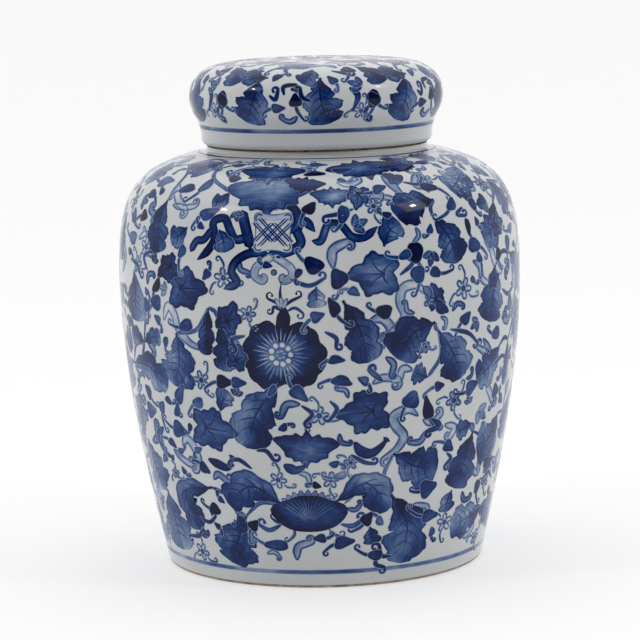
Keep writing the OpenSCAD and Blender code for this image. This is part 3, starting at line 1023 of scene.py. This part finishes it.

# Here too the buds towards the sides of the panel are paler: painted glare of the slanting glaze
# Buds of the jar: place, length, width, turn, tone and length of stalk
JAR_BUDS = [
    (17.5, 130, 7, 6, 0, .92, 5), (3.5, 133, 8.5, 4.5, 110, .86, 7), (5, 146, 8.5, 7.5, 100, .84, 5),
    (27, 156, 9, 7.5, 100, .94, 6), (33, 146, 5.5, 4.5, 160, .76, 7), (46.5, 165, 7.5, 3, 95, .84, 5),
    (48, 156, 8, 6.5, 170, .68, 7), (60, 150, 6, 4.5, 90, .95, 5), (35, 129.5, 8.5, 5, -40, .80, 5),
    (27.5, 146, 7.5, 7, 100, .72, 6), (44, 123, 7, 5, 30, .68, 7), (42, 176, 7, 4.5, 50, .66, 9),
    (51, 175, 6, 4.5, 100, .76, 4), (36, 186, 9, 4.5, 170, .80, 7), (26, 88, 8, 8, 40, .74, 6),
    (31.5, 83, 11, 5, 105, .82, 8), (35, 93, 5, 4, 0, .74, 6), (48, 90, 8.5, 6, 30, .60, 7),
    (61.5, 85, 6.5, 6, 90, .68, 6), (40.5, 63, 6.5, 5, -40, .76, 6), (34, 44, 9, 8, 20, .66, 5),
    (36, 30, 9, 5.5, 0, .72, 9), (58.5, 39, 6.5, 5, 90, .80, 6), (13.5, 32, 6.5, 5, 60, .84, 6),
    (17, 13.5, 6.5, 5, 0, .66, 7), (6, 21, 9, 5.5, 10, .64, 6), (-16, 19.5, 11, 5, 0, .78, 7),
    (-23.5, 29, 5.5, 4.5, 50, .88, 6), (-37.5, 35, 6, 5.5, 0, .93, 5), (-47.5, 72.5, 9, 7.5, 0, .66, 7),
    (-52, 65, 6, 3.5, -30, .76, 6), (-54.5, 82, 6, 4.5, 70, .64, 8), (-61.5, 88, 7, 5, 120, .74, 6),
    (-61.5, 79, 9, 7, 10, .58, 6), (-52, 132, 7.5, 7, 20, .64, 6), (-57, 130, 6.5, 5, 110, .60, 5),
    (-51.5, 140, 8, 4, 50, .84, 6), (-61, 171, 6, 5, 0, .92, 6), (-61.5, 182, 6.5, 4.5, 170, .66, 6),
    (-40, 123, 8, 5.5, 20, .68, 7), (-28.5, 98, 8, 5.5, 0, .90, 7), (-24, 98, 7, 4.5, 0, .68, 0),
    (-6.5, 93.5, 9, 5.5, -40, .68, 5), (-1, 129, 6, 4.5, 20, .80, 6), (-2.5, 178, 6.5, 4.5, 40, .92, 5),
    (-1.5, 152, 8.5, 7, -20, .82, 6), (5.5, 99, 9, 4.5, -12, .72, 6), (4, 109, 7, 3.5, 0, .76, 4),
    (-33, 175, 10, 5, 20, .62, 6), (-29, 195, 6, 4.5, -20, .86, 6), (-66, 160, 9, 6, 0, .54, 7),
    (-68, 170, 8, 5, 130, .58, 6), (67, 154, 7, 5.5, 90, .54, 6), (68, 126, 9, 5.5, 100, .56, 6),
    (59, 113, 7, 6, 0, .54, 5), (7, 175, 8, 5, 80, .70, 5), (-45, 187, 9, 5, 10, .80, 6),
    (-38, 190, 9, 5, 70, .64, 8), (-59, 190, 11, 6, 10, .50, 6), (24, 155, 6, 4, 20, .64, 6),
    (-41, 157, 6, 4, 60, .56, 7), (50, 150, 5, 3.5, 120, .60, 6), (19, 187, 7, 4, 30, .64, 7),
    (71, 160, 7, 4, 20, .46, 6), (72, 84, 8, 5, 60, .46, 7), (-70, 120, 8, 5, 0, .46, 6),
    (83, 146, 8, 5, 80, .5, 7), (-73, 66, 7, 5, 10, .5, 6), (-69, 18, 8, 5, 20, .5, 7),
    (85, 76, 8, 5, 100, .56, 7), (84, 20, 8, 5, 10, .5, 7), (-87, 176, 8, 5, 60, .6, 7),
    (-86, 60, 8, 5, 100, .6, 7), (-90, 20, 8, 5, 0, .6, 7), (77, 204, 7, 5, 30, .56, 7),
    (-33, 208, 7, 4, 10, .66, 6), (0, 209, 8, 4, 0, .70, 6), (55, 192, 7, 4, 20, .5, 6),
    (5, 54, 6, 3.5, 20, .46, 5), (-14, 95, 6, 3, 60, .66, 0), (9, 202, 9, 5, 10, .7, 0),
    (-1, 199.5, 9, 4, 0, .84, 0), (-45, 90, 10, 5, 60, .6, 6), (-47, 82, 7, 3.5, 70, .6, 0),
    (-38, 87, 6, 5, 20, .5, 6), (45, 205, 9, 4, 10, .7, 6),
]

# Crescents and curls of the jar: width, tone, hook and places
JAR_CURLS = [
    (4.6, .74, 0, [(9, 70), (11, 65.5), (14, 64), (17, 67), (19, 71)]),
    (4.4, .62, 0, [(-55.5, 72), (-59, 67), (-57, 60), (-52.5, 57)]),
    (4.0, .74, 0, [(-37, 60), (-33.5, 58), (-30, 57), (-28, 63)]),
    (4.2, .78, 0, [(-12, 59.5), (-8.5, 57), (-5, 59.5)]), (4.0, .60, 0, [(29, 140), (31, 136), (30, 132)]),
    (2.6, .66, 1.6, [(33, 78), (36, 74), (32, 72)]), (2.2, .60, -1.8, [(17, 98), (13.5, 103)]),
    (2.0, .50, 2.0, [(5, 30), (9, 29), (12, 32)]), (1.8, .50, -2.0, [(-14, 30), (-18, 27), (-21, 29)]),
    (1.6, .56, 2.0, [(-20, 66), (-17, 66), (-15, 62)]), (1.6, .60, 2.0, [(23, 12), (19, 13), (18, 18)]),
    (1.6, .60, -1.8, [(18, 13), (17, 9), (20, 7)]), (1.5, .66, 1.6, [(46, 174), (43, 171), (46, 170)]),
    (1.4, .62, 1.5, [(-45, 30), (-41, 28), (-38, 31)]), (1.5, .60, 1.6, [(40, 60), (42, 57), (40, 54)]),
    (1.5, .60, -1.8, [(22, 146), (26, 151), (24, 154)]), (1.6, .58, 1.6, [(-44, 25), (-47, 20), (-52, 19)]),
    (1.6, .60, 1.8, [(10, 177), (6, 175), (2, 174)]), (1.5, .56, 1.6, [(58, 97), (64, 101), (68, 98)]),
    (1.5, .58, -1.6, [(-56, 146), (-58, 152), (-55, 155)]),
    (1.6, .60, 1.6, [(-22, 57), (-26, 61), (-29, 60)]),
    (1.5, .56, 1.8, [(-67, 150), (-62, 148), (-60, 143)]),
    (1.6, .56, -1.8, [(38, 119), (45, 116), (49, 111)]), (1.6, .54, 1.6, [(8, 64), (12, 60), (15, 59)]),
    (1.5, .58, 1.8, [(-6, 88), (-3, 84), (-5, 80)]), (1.5, .56, -1.6, [(2, 90), (4, 86), (2, 81)]),
    (1.6, .62, 1.6, [(62, 133), (66, 130), (70, 132)]), (1.4, .60, 1.5, [(28, 190), (33, 188), (36, 192)]),
    (1.5, .60, 1.8, [(-8, 146), (-3, 143), (1, 146)]),
    (1.6, .62, -1.8, [(-21, 120), (-25, 118), (-24, 114)]), (1.5, .62, 1.6, [(1, 122), (4, 119), (4, 115)]),
    (1.4, .58, -1.8, [(-66, 80), (-70, 84), (-74, 80)]), (1.4, .58, 1.8, [(70, 40), (66, 44), (62, 42)]),
    (1.4, .56, 1.6, [(74, 96), (78, 92), (82, 94)]), (1.4, .56, -1.8, [(-82, 190), (-78, 186), (-80, 182)]),
    (1.4, .56, 1.8, [(82, 160), (86, 156), (90, 160)]),
    (1.4, .56, 1.8, [(-84, 116), (-88, 112), (-92, 116)]), (1.4, .56, -1.6, [(78, 14), (82, 12), (86, 16)]),
]

# Broad pale vines of the jar: width, hook and places
JAR_VINES = [
    (4.6, 2.4, [(30, 136), (27, 141), (23, 140), (22, 134), (23.5, 127), (20, 121), (16, 117)]),
    (4.4, -2.4, [(13, 126), (16.5, 127), (19, 123), (19, 119)]),
    (4.6, 2.2, [(28.5, 80), (25, 83.5), (20.5, 81), (21.5, 76), (24, 71), (22, 65), (18, 61)]),
    (3.6, -2.6, [(14, 97), (17, 99.5), (21, 98.5)]),
    (4.4, -2.0, [(-47, 64), (-45, 68.5), (-42.5, 66), (-41, 60), (-42, 54)]),
    (4.2, 2.0, [(-49, 124), (-47, 131), (-44.5, 128), (-43, 121), (-39, 115), (-35, 113)]),
    (3.2, 2.2, [(-36, 50), (-34, 53), (-31, 50)]), (4.6, 0, [(24, 198), (23.2, 192), (25, 185), (27, 181)]),
    (4.0, 2.0, [(53, 157), (56, 153), (57.5, 147), (60, 142)]),
    (3.4, 2.2, [(47, 149), (50, 146), (51, 140), (54, 137)]),
    (4.0, -2.2, [(-51, 190), (-49, 185), (-46, 180), (-42, 176)]),
    (3.0, 2.0, [(-48, 178), (-43, 177), (-39, 178)]), (3.4, -2.2, [(-57, 179), (-58.5, 175), (-55, 172)]),
    (3.8, 2.0, [(55, 90), (58, 85), (61, 79)]), (3.4, -2.2, [(52, 50), (57, 46), (57, 52)]),
    (3.0, 2.2, [(20, 178), (22, 181), (17, 183)]), (3.6, -2.4, [(26, 102), (23, 103), (22, 99)]),
    (3.4, -2.0, [(38, 74), (42, 72), (41, 68)]), (3.2, 2.0, [(30, 78), (33, 76), (36, 79)]),
    (3.2, 2.0, [(52, 20), (56, 15), (60, 17)]), (3.6, 2.2, [(-52, 62), (-48, 58), (-45, 56)]),
    (3.4, -2.2, [(-58, 103), (-55, 108), (-57, 112)]), (3.0, 2.0, [(62, 120), (66, 117), (69, 120)]),
    (3.6, 2.2, [(65, 176), (66, 181), (62, 184)]), (3.6, -2.2, [(52, 112), (56, 104), (50, 108)]),
    (3.4, 2.2, [(60, 57), (65, 54), (67, 58)]), (3.4, 2.2, [(38, 196), (34, 193), (32, 189)]),
    (3.2, 2.2, [(-22, 207), (-28, 204), (-31, 200)]), (3.0, -2.0, [(28, 36), (31, 36), (34, 35)]),
    (3.0, 2.0, [(-62, 160), (-58, 163), (-55, 160)]), (3.4, 2.2, [(-66, 90), (-70, 86), (-67, 82)]),
    (3.4, -2.2, [(74, 130), (72, 124), (76, 120)]), (3.4, 2.2, [(-76, 142), (-72, 150), (-75, 156)]),
    (3.2, 2.0, [(44, 190), (50, 186), (54, 182)]), (3.4, 2.2, [(80, 70), (84, 64), (82, 58)]),
    (3.4, -2.2, [(-84, 84), (-80, 76), (-82, 70)]), (3.4, 2.2, [(78, 176), (76, 184), (79, 190)]),
    (3.0, 2.2, [(6, 192), (10, 190), (13, 192)]),
]

# Small line-drawn flowers of the jar: place and size
JAR_FLORETS = [
    (-36, 98, 4.0), (43, 137, 4.6), (41, 85, 4.4), (43, 25, 4.2), (-27, 146, 4.2), (-47, 12, 4.0),
    (-1, 83, 4.0), (-20, 130, 3.4), (16, 178, 3.6), (-57, 157, 4.2), (61, 184, 4.0), (37, 191, 3.4),
    (2, 52, 3.6), (-14, 52, 3.6), (-21, 48, 2.8), (8, 60, 3.0), (-62, 148, 3.8), (64, 40, 3.6),
    (-72, 14, 3.8), (79, 44, 3.8), (-74, 60, 3.2), (-80, 62, 3.2), (64, 12, 3.6), (-3, 205, 3.6),
    (-28, 212, 3.2), (54, 213, 3.2), (-14, 205, 2.6), (76, 106, 3.8), (-84, 140, 3.6), (82, 112, 3.2),
    (-53, 50, 2.6), (30, 112, 2.4), (86, 90, 3.6), (88, 180, 3.6), (-72, 176, 3.2), (-86, 194, 3.2),
]

# The same lists for one stretch of the lid, a fifth of the way round
LID_STRETCH = 72
LID_LEAVES = [
    ((2, 33), (6, 10), 16.5, -2, .62), ((-27, 32), (-34, 11), 16, 2, .60), ((22, 42), (30, 28), 10, 2, .64),
    ((-23, 33), (-36, 40), 10, 4, .66), ((2, 50), (-12, 41), 11, -3, .56),
    ((-34, 62), (-12, 56), 14, -3, .50), ((10, 58), (34, 52), 13, 3, .54), ((6, 76), (-16, 68), 9, -2, .54),
    ((30, 77), (8, 66), 8, 2, .50),
]
LID_BUDS = [
    (-46, 22, 7, 6, 120, .92, 5), (26, 21, 6.5, 6, 90, .93, 5), (-9, 21.5, 5.5, 5, 90, .94, 7),
    (-17, 18, 6, 3.6, 0, .80, 5), (17, 39, 6, 6, 90, .78, 6), (-18, 43, 7, 4, 20, .62, 6),
    (-2, 61, 7, 4, 30, .66, 7), (22, 64, 7, 4, -30, .66, 6), (-30, 50, 7, 4, 60, .62, 6),
]
LID_CURLS = [
    (2.6, .72, 0, [(15, 27), (18.5, 23), (16, 16)]), (1.5, .70, 1.6, [(-21, 24), (-18, 22), (-17, 26)]),
    (1.6, .74, -1.7, [(-14, 24), (-14.5, 28), (-10, 29)]), (1.5, .72, 1.5, [(-2, 21), (-6, 23), (-7, 27)]),
    (1.5, .72, -1.4, [(24, 19), (22, 15), (25, 13)]), (1.5, .66, 1.6, [(8, 38), (13, 36), (17, 34)]),
    (1.5, .62, -1.6, [(-14, 36), (-16, 40), (-12, 44)]), (1.4, .60, 1.6, [(30, 44), (32, 50), (28, 54)]),
    (1.4, .60, -1.6, [(-2, 68), (4, 72), (10, 70)]),
]
LID_VINES = [
    (3.4, 2.0, [(-20, 44), (-22, 52), (-16, 50)]), (3.2, -2.0, [(14, 44), (18, 50), (10, 52)]),
    (3.2, 2.0, [(-28, 72), (-10, 62), (0, 66)]),
]
LID_FLORETS = [
    (-52, 16, 3.4), (24, 58, 3.2),
]


# How many places fill_gaps scatters, and how many painted places it skips through to measure to one
SITES = 3600
EVERY_FIFTH = 5


class Garden:
    """The paintings of the leaves, veins, vines, buds and florets of one wall, and what is sown in them."""

    def __init__(self, wall, seeds):
        self.wall = wall
        lifts = (LEAF_LIFT, VEIN_LIFT, VINE_LIFT, BUD_LIFT, FLORET_LIFT)
        bleeds = (BLEED, 0, BLEED, BLEED, BLEED)
        self.leaves, self.veins, self.vines, self.buds, self.florets = (
            Painting(wall, lift, seed, bleed) for lift, seed, bleed in zip(lifts, seeds, bleeds))

    def sow(self, leaves, buds, curls, vines, florets):
        """Paints the motifs of the lists."""
        for stem, tip, width, bow, tone in leaves:
            leaf(self.leaves, self.veins, stem, tip, width, bow, tone)
        for angle, run, *shape in buds:
            bud(self.buds, (angle, run), *shape)
        for width, tone, hook, points in curls:
            self.buds.line(points, width, tone, 0.2, knob=0.9, hook=hook, count=30)
        for width, hook, points in vines:
            self.vines.line(points, width, 0.2, 0.42, taper=(0.18, 0.45), hook=hook, count=38)
        for angle, run, size in florets:
            floret(self.florets, (angle, run), size)

    def link_stems(self, leaves, nearest=4.0, farthest=34.0):
        """Thin vines from the stem of each leaf to the closest other stem in reach, in a shallow bow."""
        stems = np.array([stem for stem, *_ in leaves], float)
        for k, stem in enumerate(stems):
            flat = self.wall.flat(stems, stem)
            far = np.hypot(*flat.T)
            far[far < nearest] = np.inf
            way = flat[int(np.argmin(far))]
            if far.min() <= farthest:
                bow = way / 2 + 0.2 * (1 if k % 2 else -1) * quarter(way)
                self.vines.line([(0, 0), bow, way], 1.5, 0.42, 0.25, anchor=stem, taper=(0.1, 0.3), knob=0.8,
                                count=30)

    def filler(self, at, gap, degrees, scatter):
        """A small leaf, bud, sprig or curl as large as the gap that it goes in."""
        turn = scatter.uniform(0, 360)
        way = heading(turn) * gap
        kind = scatter.uniform()
        if gap > 4.4 and kind < 0.5:
            stem, tip = (at + sign * way * 1.02 * [degrees, 1] for sign in (-1, 1))
            leaf(self.leaves, self.veins, stem, tip, gap * 1.7, scatter.uniform(-0.3, 0.3) * gap,
                 scatter.uniform(0.36, 0.66), lobes=1.8, small=True)
        elif kind < 0.6:
            bud(self.buds, at, gap * 1.25, gap * 0.85, turn, scatter.uniform(0.5, 0.85), gap * 0.8)
        elif kind < 0.78:
            sprig(self.buds, at, gap * 1.15, turn, scatter.uniform(0.34, 0.72))
        else:
            side = quarter(way) * scatter.choice([-0.55, 0.55])
            self.vines.line([-way, side, way * 0.9], gap * 0.62, scatter.uniform(0.22, 0.42), 0.42, anchor=at,
                            hook=gap * 0.3 * scatter.choice([-1, 1]), taper=(0.2, 0.5), count=30)

    def fill_gaps(self, others, low, high, span, least, seed, most=260):
        """Fillers in the bare gaps. From many scattered places the one farthest from all paint is taken, a
        filler goes there, and the distances are brought up to date, until no gap is wider than twice the
        least. Distances are those on the wall: angle times radius across, run along."""
        scatter = np.random.default_rng(seed)
        angles = scatter.uniform(-span / 2, span / 2, SITES)
        sites = np.column_stack([angles, scatter.uniform(low, high, SITES)]).astype(np.float32)
        radius = self.wall.radius(sites[:, 1])
        room = np.minimum(sites[:, 1] - low + 1.5, high - sites[:, 1] + 1.5)
        places = painted_places((self.leaves, *others[:1], self.vines, self.buds, self.florets, *others[1:]))
        for part in np.array_split(places, len(places) // 1500 + 1):
            across = np.mod(sites[:, None, 0] - part[None, :, 0] + span / 2, span) - span / 2
            far = (np.radians(across) * radius[:, None]) ** 2 + (sites[:, None, 1] - part[None, :, 1]) ** 2
            room = np.minimum(room, np.sqrt(far.min(1)))
        for _ in range(most):
            k = int(np.argmax(room))
            gap, at = room[k], sites[k]
            if gap < least:
                break
            self.filler(at, gap, np.degrees(1 / radius[k]), scatter)
            reach = np.radians(sites[:, 0] - at[0]) * radius
            wrapped = np.minimum(np.abs(reach), np.abs(np.abs(reach) - np.radians(span) * radius))
            room = np.minimum(room, np.maximum(np.hypot(wrapped, sites[:, 1] - at[1]) - 0.8 * gap, 0))


def painted_places(sheets):
    """Every fifth place (angle, run) that the strokes of some paintings hold."""
    found = [stroke[0].reshape(-1, 2) for sheet in sheets for shelf in (sheet.strokes, sheet.blots)
             for group in shelf.values() for stroke in group]
    return np.vstack(found)[::EVERY_FIFTH].astype(np.float32)


def paint_jar(wall):
    """Every stroke of one of the jar's two panels, sorted into the pieces that hold them."""
    garden = Garden(wall, (3, 7, 11, 13, 15))
    blots = Painting(wall, BLOT_LIFT, 5)
    fine = Painting(wall, FINE_LIFT, 9, 0)
    medallions = Painting(wall, MEDALLION_LIFT, 17, 0)
    garden.sow(JAR_LEAVES, JAR_BUDS, JAR_CURLS, JAR_VINES, JAR_FLORETS)
    garden.link_stems(JAR_LEAVES)
    for place in JAR_LOBED:
        lobed_leaf(blots, garden.veins, *place)
    for place in JAR_BATS:
        winged_blot(blots, *place)
    heart_flower(medallions, fine)
    lotus(medallions, fine)
    endless_knot(fine)
    ribbons(medallions)
    cloud_head(medallions, fine)
    garden.fill_gaps((blots, medallions, fine), 12.5, 214.0, 180.0, 2.9, 41)
    return {"jar_leaves": garden.leaves, "jar_winged_blots": blots, "jar_vines": garden.vines,
            "jar_buds_and_curls": garden.buds, "jar_florets": garden.florets, "jar_medallions": medallions,
            "jar_leaf_veins": garden.veins, "jar_fine_lines": fine}


def paint_lid(wall):
    """Every stroke of one stretch of the lid, sorted into the pieces that hold them."""
    garden = Garden(wall, (21, 23, 25, 27, 29))
    garden.sow(LID_LEAVES, LID_BUDS, LID_CURLS, LID_VINES, LID_FLORETS)
    garden.fill_gaps((), 11.0, 79.0, LID_STRETCH, 3.5, 43, 60)
    for turn in (0, 36):
        leaf(garden.leaves, garden.veins, (turn, 88.2), (turn, 80.0), 5.2, 0.0, 0.5 + turn / 400, 2, 1.0)
    return {"lid_leaves": garden.leaves, "lid_leaf_veins": garden.veins, "lid_vines": garden.vines,
            "lid_buds_and_curls": garden.buds, "lid_florets": garden.florets}


def paint_rings(wall, seed, rings):
    """Rings painted on the wheel: films once round the wall whose two edges waver by sums of slow waves."""
    sheet = Painting(wall, RING_LIFT, seed)
    angle = np.linspace(0, 360, 361)
    for run, width, tones, wobble, ring_seed in rings:
        waves = np.random.default_rng(ring_seed)
        edges = []
        for sign in (1, -1):
            drift = sum(waves.uniform(0.3, 1) / k * np.sin(np.radians(k * angle) + waves.uniform(0, 6.28))
                        for k in (2, 3, 5, 9))
            edges.append(np.column_stack([angle, run + sign * width / 2 + wobble * drift]))
        grid = edges[0][:, None] + (edges[1] - edges[0])[:, None] * ACROSS_STROKE[None, :, None]
        rim = np.minimum(ACROSS_STROKE, 1 - ACROSS_STROKE)[None] * width + 0 * angle[:, None]
        tone = np.asarray(tones)[None] + 0.05 * np.sin(np.radians(3 * angle + 40))[:, None]
        brush = np.stack(np.broadcast_arrays(angle[:, None] * 1.5, ACROSS_STROKE[None] * width, 0.0), -1)
        values = np.stack(np.broadcast_arrays(tone, rim, 0.12), -1)
        sheet.store(sheet.strokes, rim.shape, grid, values, brush)
    return sheet


# ---------------------------------------------------------------- the pieces

porcelain, cobalt, biscuit = porcelain_finish(), cobalt_finish(), biscuit_finish()
jar_body = turned("jar_porcelain", jar_outline(), porcelain, "jar")
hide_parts("jar")
turned("jar_foot_ring", foot_ring_outline(), biscuit, "jar")
turned("jar_ledge_ring", ledge_ring_outline(), biscuit, "jar")
lid_body = turned("lid_porcelain", lid_outline(), porcelain, "lid")
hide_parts("lid")
turned("lid_rim_ring", lid_ring_outline(), biscuit, "lid")

jar_wall, lid_wall = Wall(jar_side()), Wall(lid_side())
for label, sheet in paint_jar(jar_wall).items():
    sheet.piece(label, "jar", turns=(0, 180))
for label, sheet in paint_lid(lid_wall).items():
    sheet.piece(label, "lid", turns=range(0, 360, LID_STRETCH))

# Ring lines: run, width, tones across, wobble and seed
JAR_TOP, LID_MIDDLE = jar_wall.run[-1], lid_wall.run[-1]
JAR_RINGS = [(6.2, 2.8, [.16, .30, .36, .28, .14], 0.12, 32),
             (JAR_TOP - 1.3, 2.0, [.8, .98, 1.05, .98, .7], 0.10, 36),
             (JAR_TOP - 4.2, 0.9, [.2, .40, .50, .36, .2], 0.16, 37)]
LID_RINGS = [(6.3, 2.7, [.30, .38, .50, .60, .62], 0.10, 34),
             (LID_MIDDLE - 1.7, 1.3, [.5, .6, .66, .6, .5], 0.05, 35)]
paint_rings(jar_wall, 31, JAR_RINGS).piece("jar_ring_lines", "jar")
paint_rings(lid_wall, 33, LID_RINGS).piece("lid_rim_line", "lid")


# ---------------------------------------------------------------- floor, light and camera

FLOOR_REACH = 14.0
FLOOR_SQUARES = 24
FLOOR_PALE = 0.45
FLOOR_GLOW = 0.5
ROOM_FRONT = 0.03
ROOM_BACK = 0.98
ROOM_ABOVE = 0.72

# Lamps, in metres and watts: one of each kind on both sides, aimed at the shoulder
LAMP_SIDE, LAMP_Y, LAMP_Z = 1.19, -0.53, 1.19
LAMP_AIM = (0, 0, 0.2)
FLASH_SIZE, FLASH_POWER = (0.07, 0.05), 2.0
SOFTBOX_SIZE, SOFTBOX_POWER = (0.44, 0.36), 1.6

CAMERA_PLACE = (-0.00034, -1.3686, 0.3092)
CAMERA_DOWN = math.radians(8.114)
CAMERA_ROLL = math.radians(-1.211)
LENS = 161.7
SENSOR = 36

scene = bpy.context.scene


def pale_stage():
    """A plain pale floor, a flat square of quads that glows a little."""
    count = FLOOR_SQUARES + 1
    line = np.linspace(-FLOOR_REACH, FLOOR_REACH, count)
    grid = np.stack(np.meshgrid(line, line, [0.0], indexing="ij"), -1).reshape(-1, 3)
    i, j = np.meshgrid(np.arange(FLOOR_SQUARES), np.arange(FLOOR_SQUARES), indexing="ij")
    a = (i * count + j).ravel()
    mesh = bpy.data.meshes.new("pale_floor")
    mesh.from_pydata(grid.tolist(), [], np.column_stack([a, a + count, a + count + 1, a + 1]).tolist())
    floor = bpy.data.objects.new("pale_floor", mesh)
    scene.collection.objects.link(floor)
    material, net, shader = node_material("pale_floor")
    net.fill(shader, {"Base Color": (FLOOR_PALE, FLOOR_PALE, FLOOR_PALE, 1), "Roughness": 1.0,
                      "Specular IOR Level": 0.0, "Emission Color": (1, 1, 1, 1),
                      "Emission Strength": FLOOR_GLOW})
    mesh.materials.append(material)


def soft_light(name, place, size, power):
    """A rectangular soft light at a place, turned to face LAMP_AIM."""
    data = bpy.data.lights.new(name, "AREA")
    data.shape = "RECTANGLE"
    data.size, data.size_y = size
    data.energy = power
    lamp = bpy.data.objects.new(name, data)
    scene.collection.objects.link(lamp)
    lamp.location = place
    lamp.rotation_euler = Vector(np.subtract(LAMP_AIM, place)).to_track_quat("-Z", "Y").to_euler()


def set_room():
    """Pale light from all round: full from behind and above, dim from the front, where the room is dark. The
    dimness follows the direction's y, and what comes from above is added by its height."""
    world = bpy.data.worlds.new("pale_room")
    net = Network(world)
    split = net.fill(net.nodes.new("ShaderNodeSeparateXYZ"), {"Vector": net.place("Generated")})
    front = net.graded(split.outputs["Y"], -0.85, 0.45, ROOM_FRONT, ROOM_BACK)
    above = net.graded(split.outputs["Z"], 0.35, 1.0, 0.0, ROOM_ABOVE)
    strength = net.total((front, 1.0), (above, 1.0))
    net.fill(net.nodes["Background"], {"Color": (1, 1, 1, 1), "Strength": strength})
    scene.world = world


def set_camera():
    """The camera, in front and a little above, looking slightly down and rolled a little."""
    data = bpy.data.cameras.new("camera")
    data.lens = LENS
    data.sensor_width = SENSOR
    camera = bpy.data.objects.new("camera", data)
    scene.collection.objects.link(camera)
    camera.location = CAMERA_PLACE
    camera.rotation_mode = "XYZ"
    look = Matrix.Rotation(math.radians(90) - CAMERA_DOWN, 4, "X") @ Matrix.Rotation(CAMERA_ROLL, 4, "Z")
    camera.rotation_euler = look.to_euler("XYZ")
    scene.camera = camera


scene.view_settings.view_transform = "Standard"
pale_stage()
set_room()
for side, label in ((-1, "left"), (1, "right")):
    place = (side * LAMP_SIDE, LAMP_Y, LAMP_Z)
    soft_light(f"{label}_flash", place, FLASH_SIZE, FLASH_POWER)
    soft_light(f"{label}_softbox", place, SOFTBOX_SIZE, SOFTBOX_POWER)
set_camera()
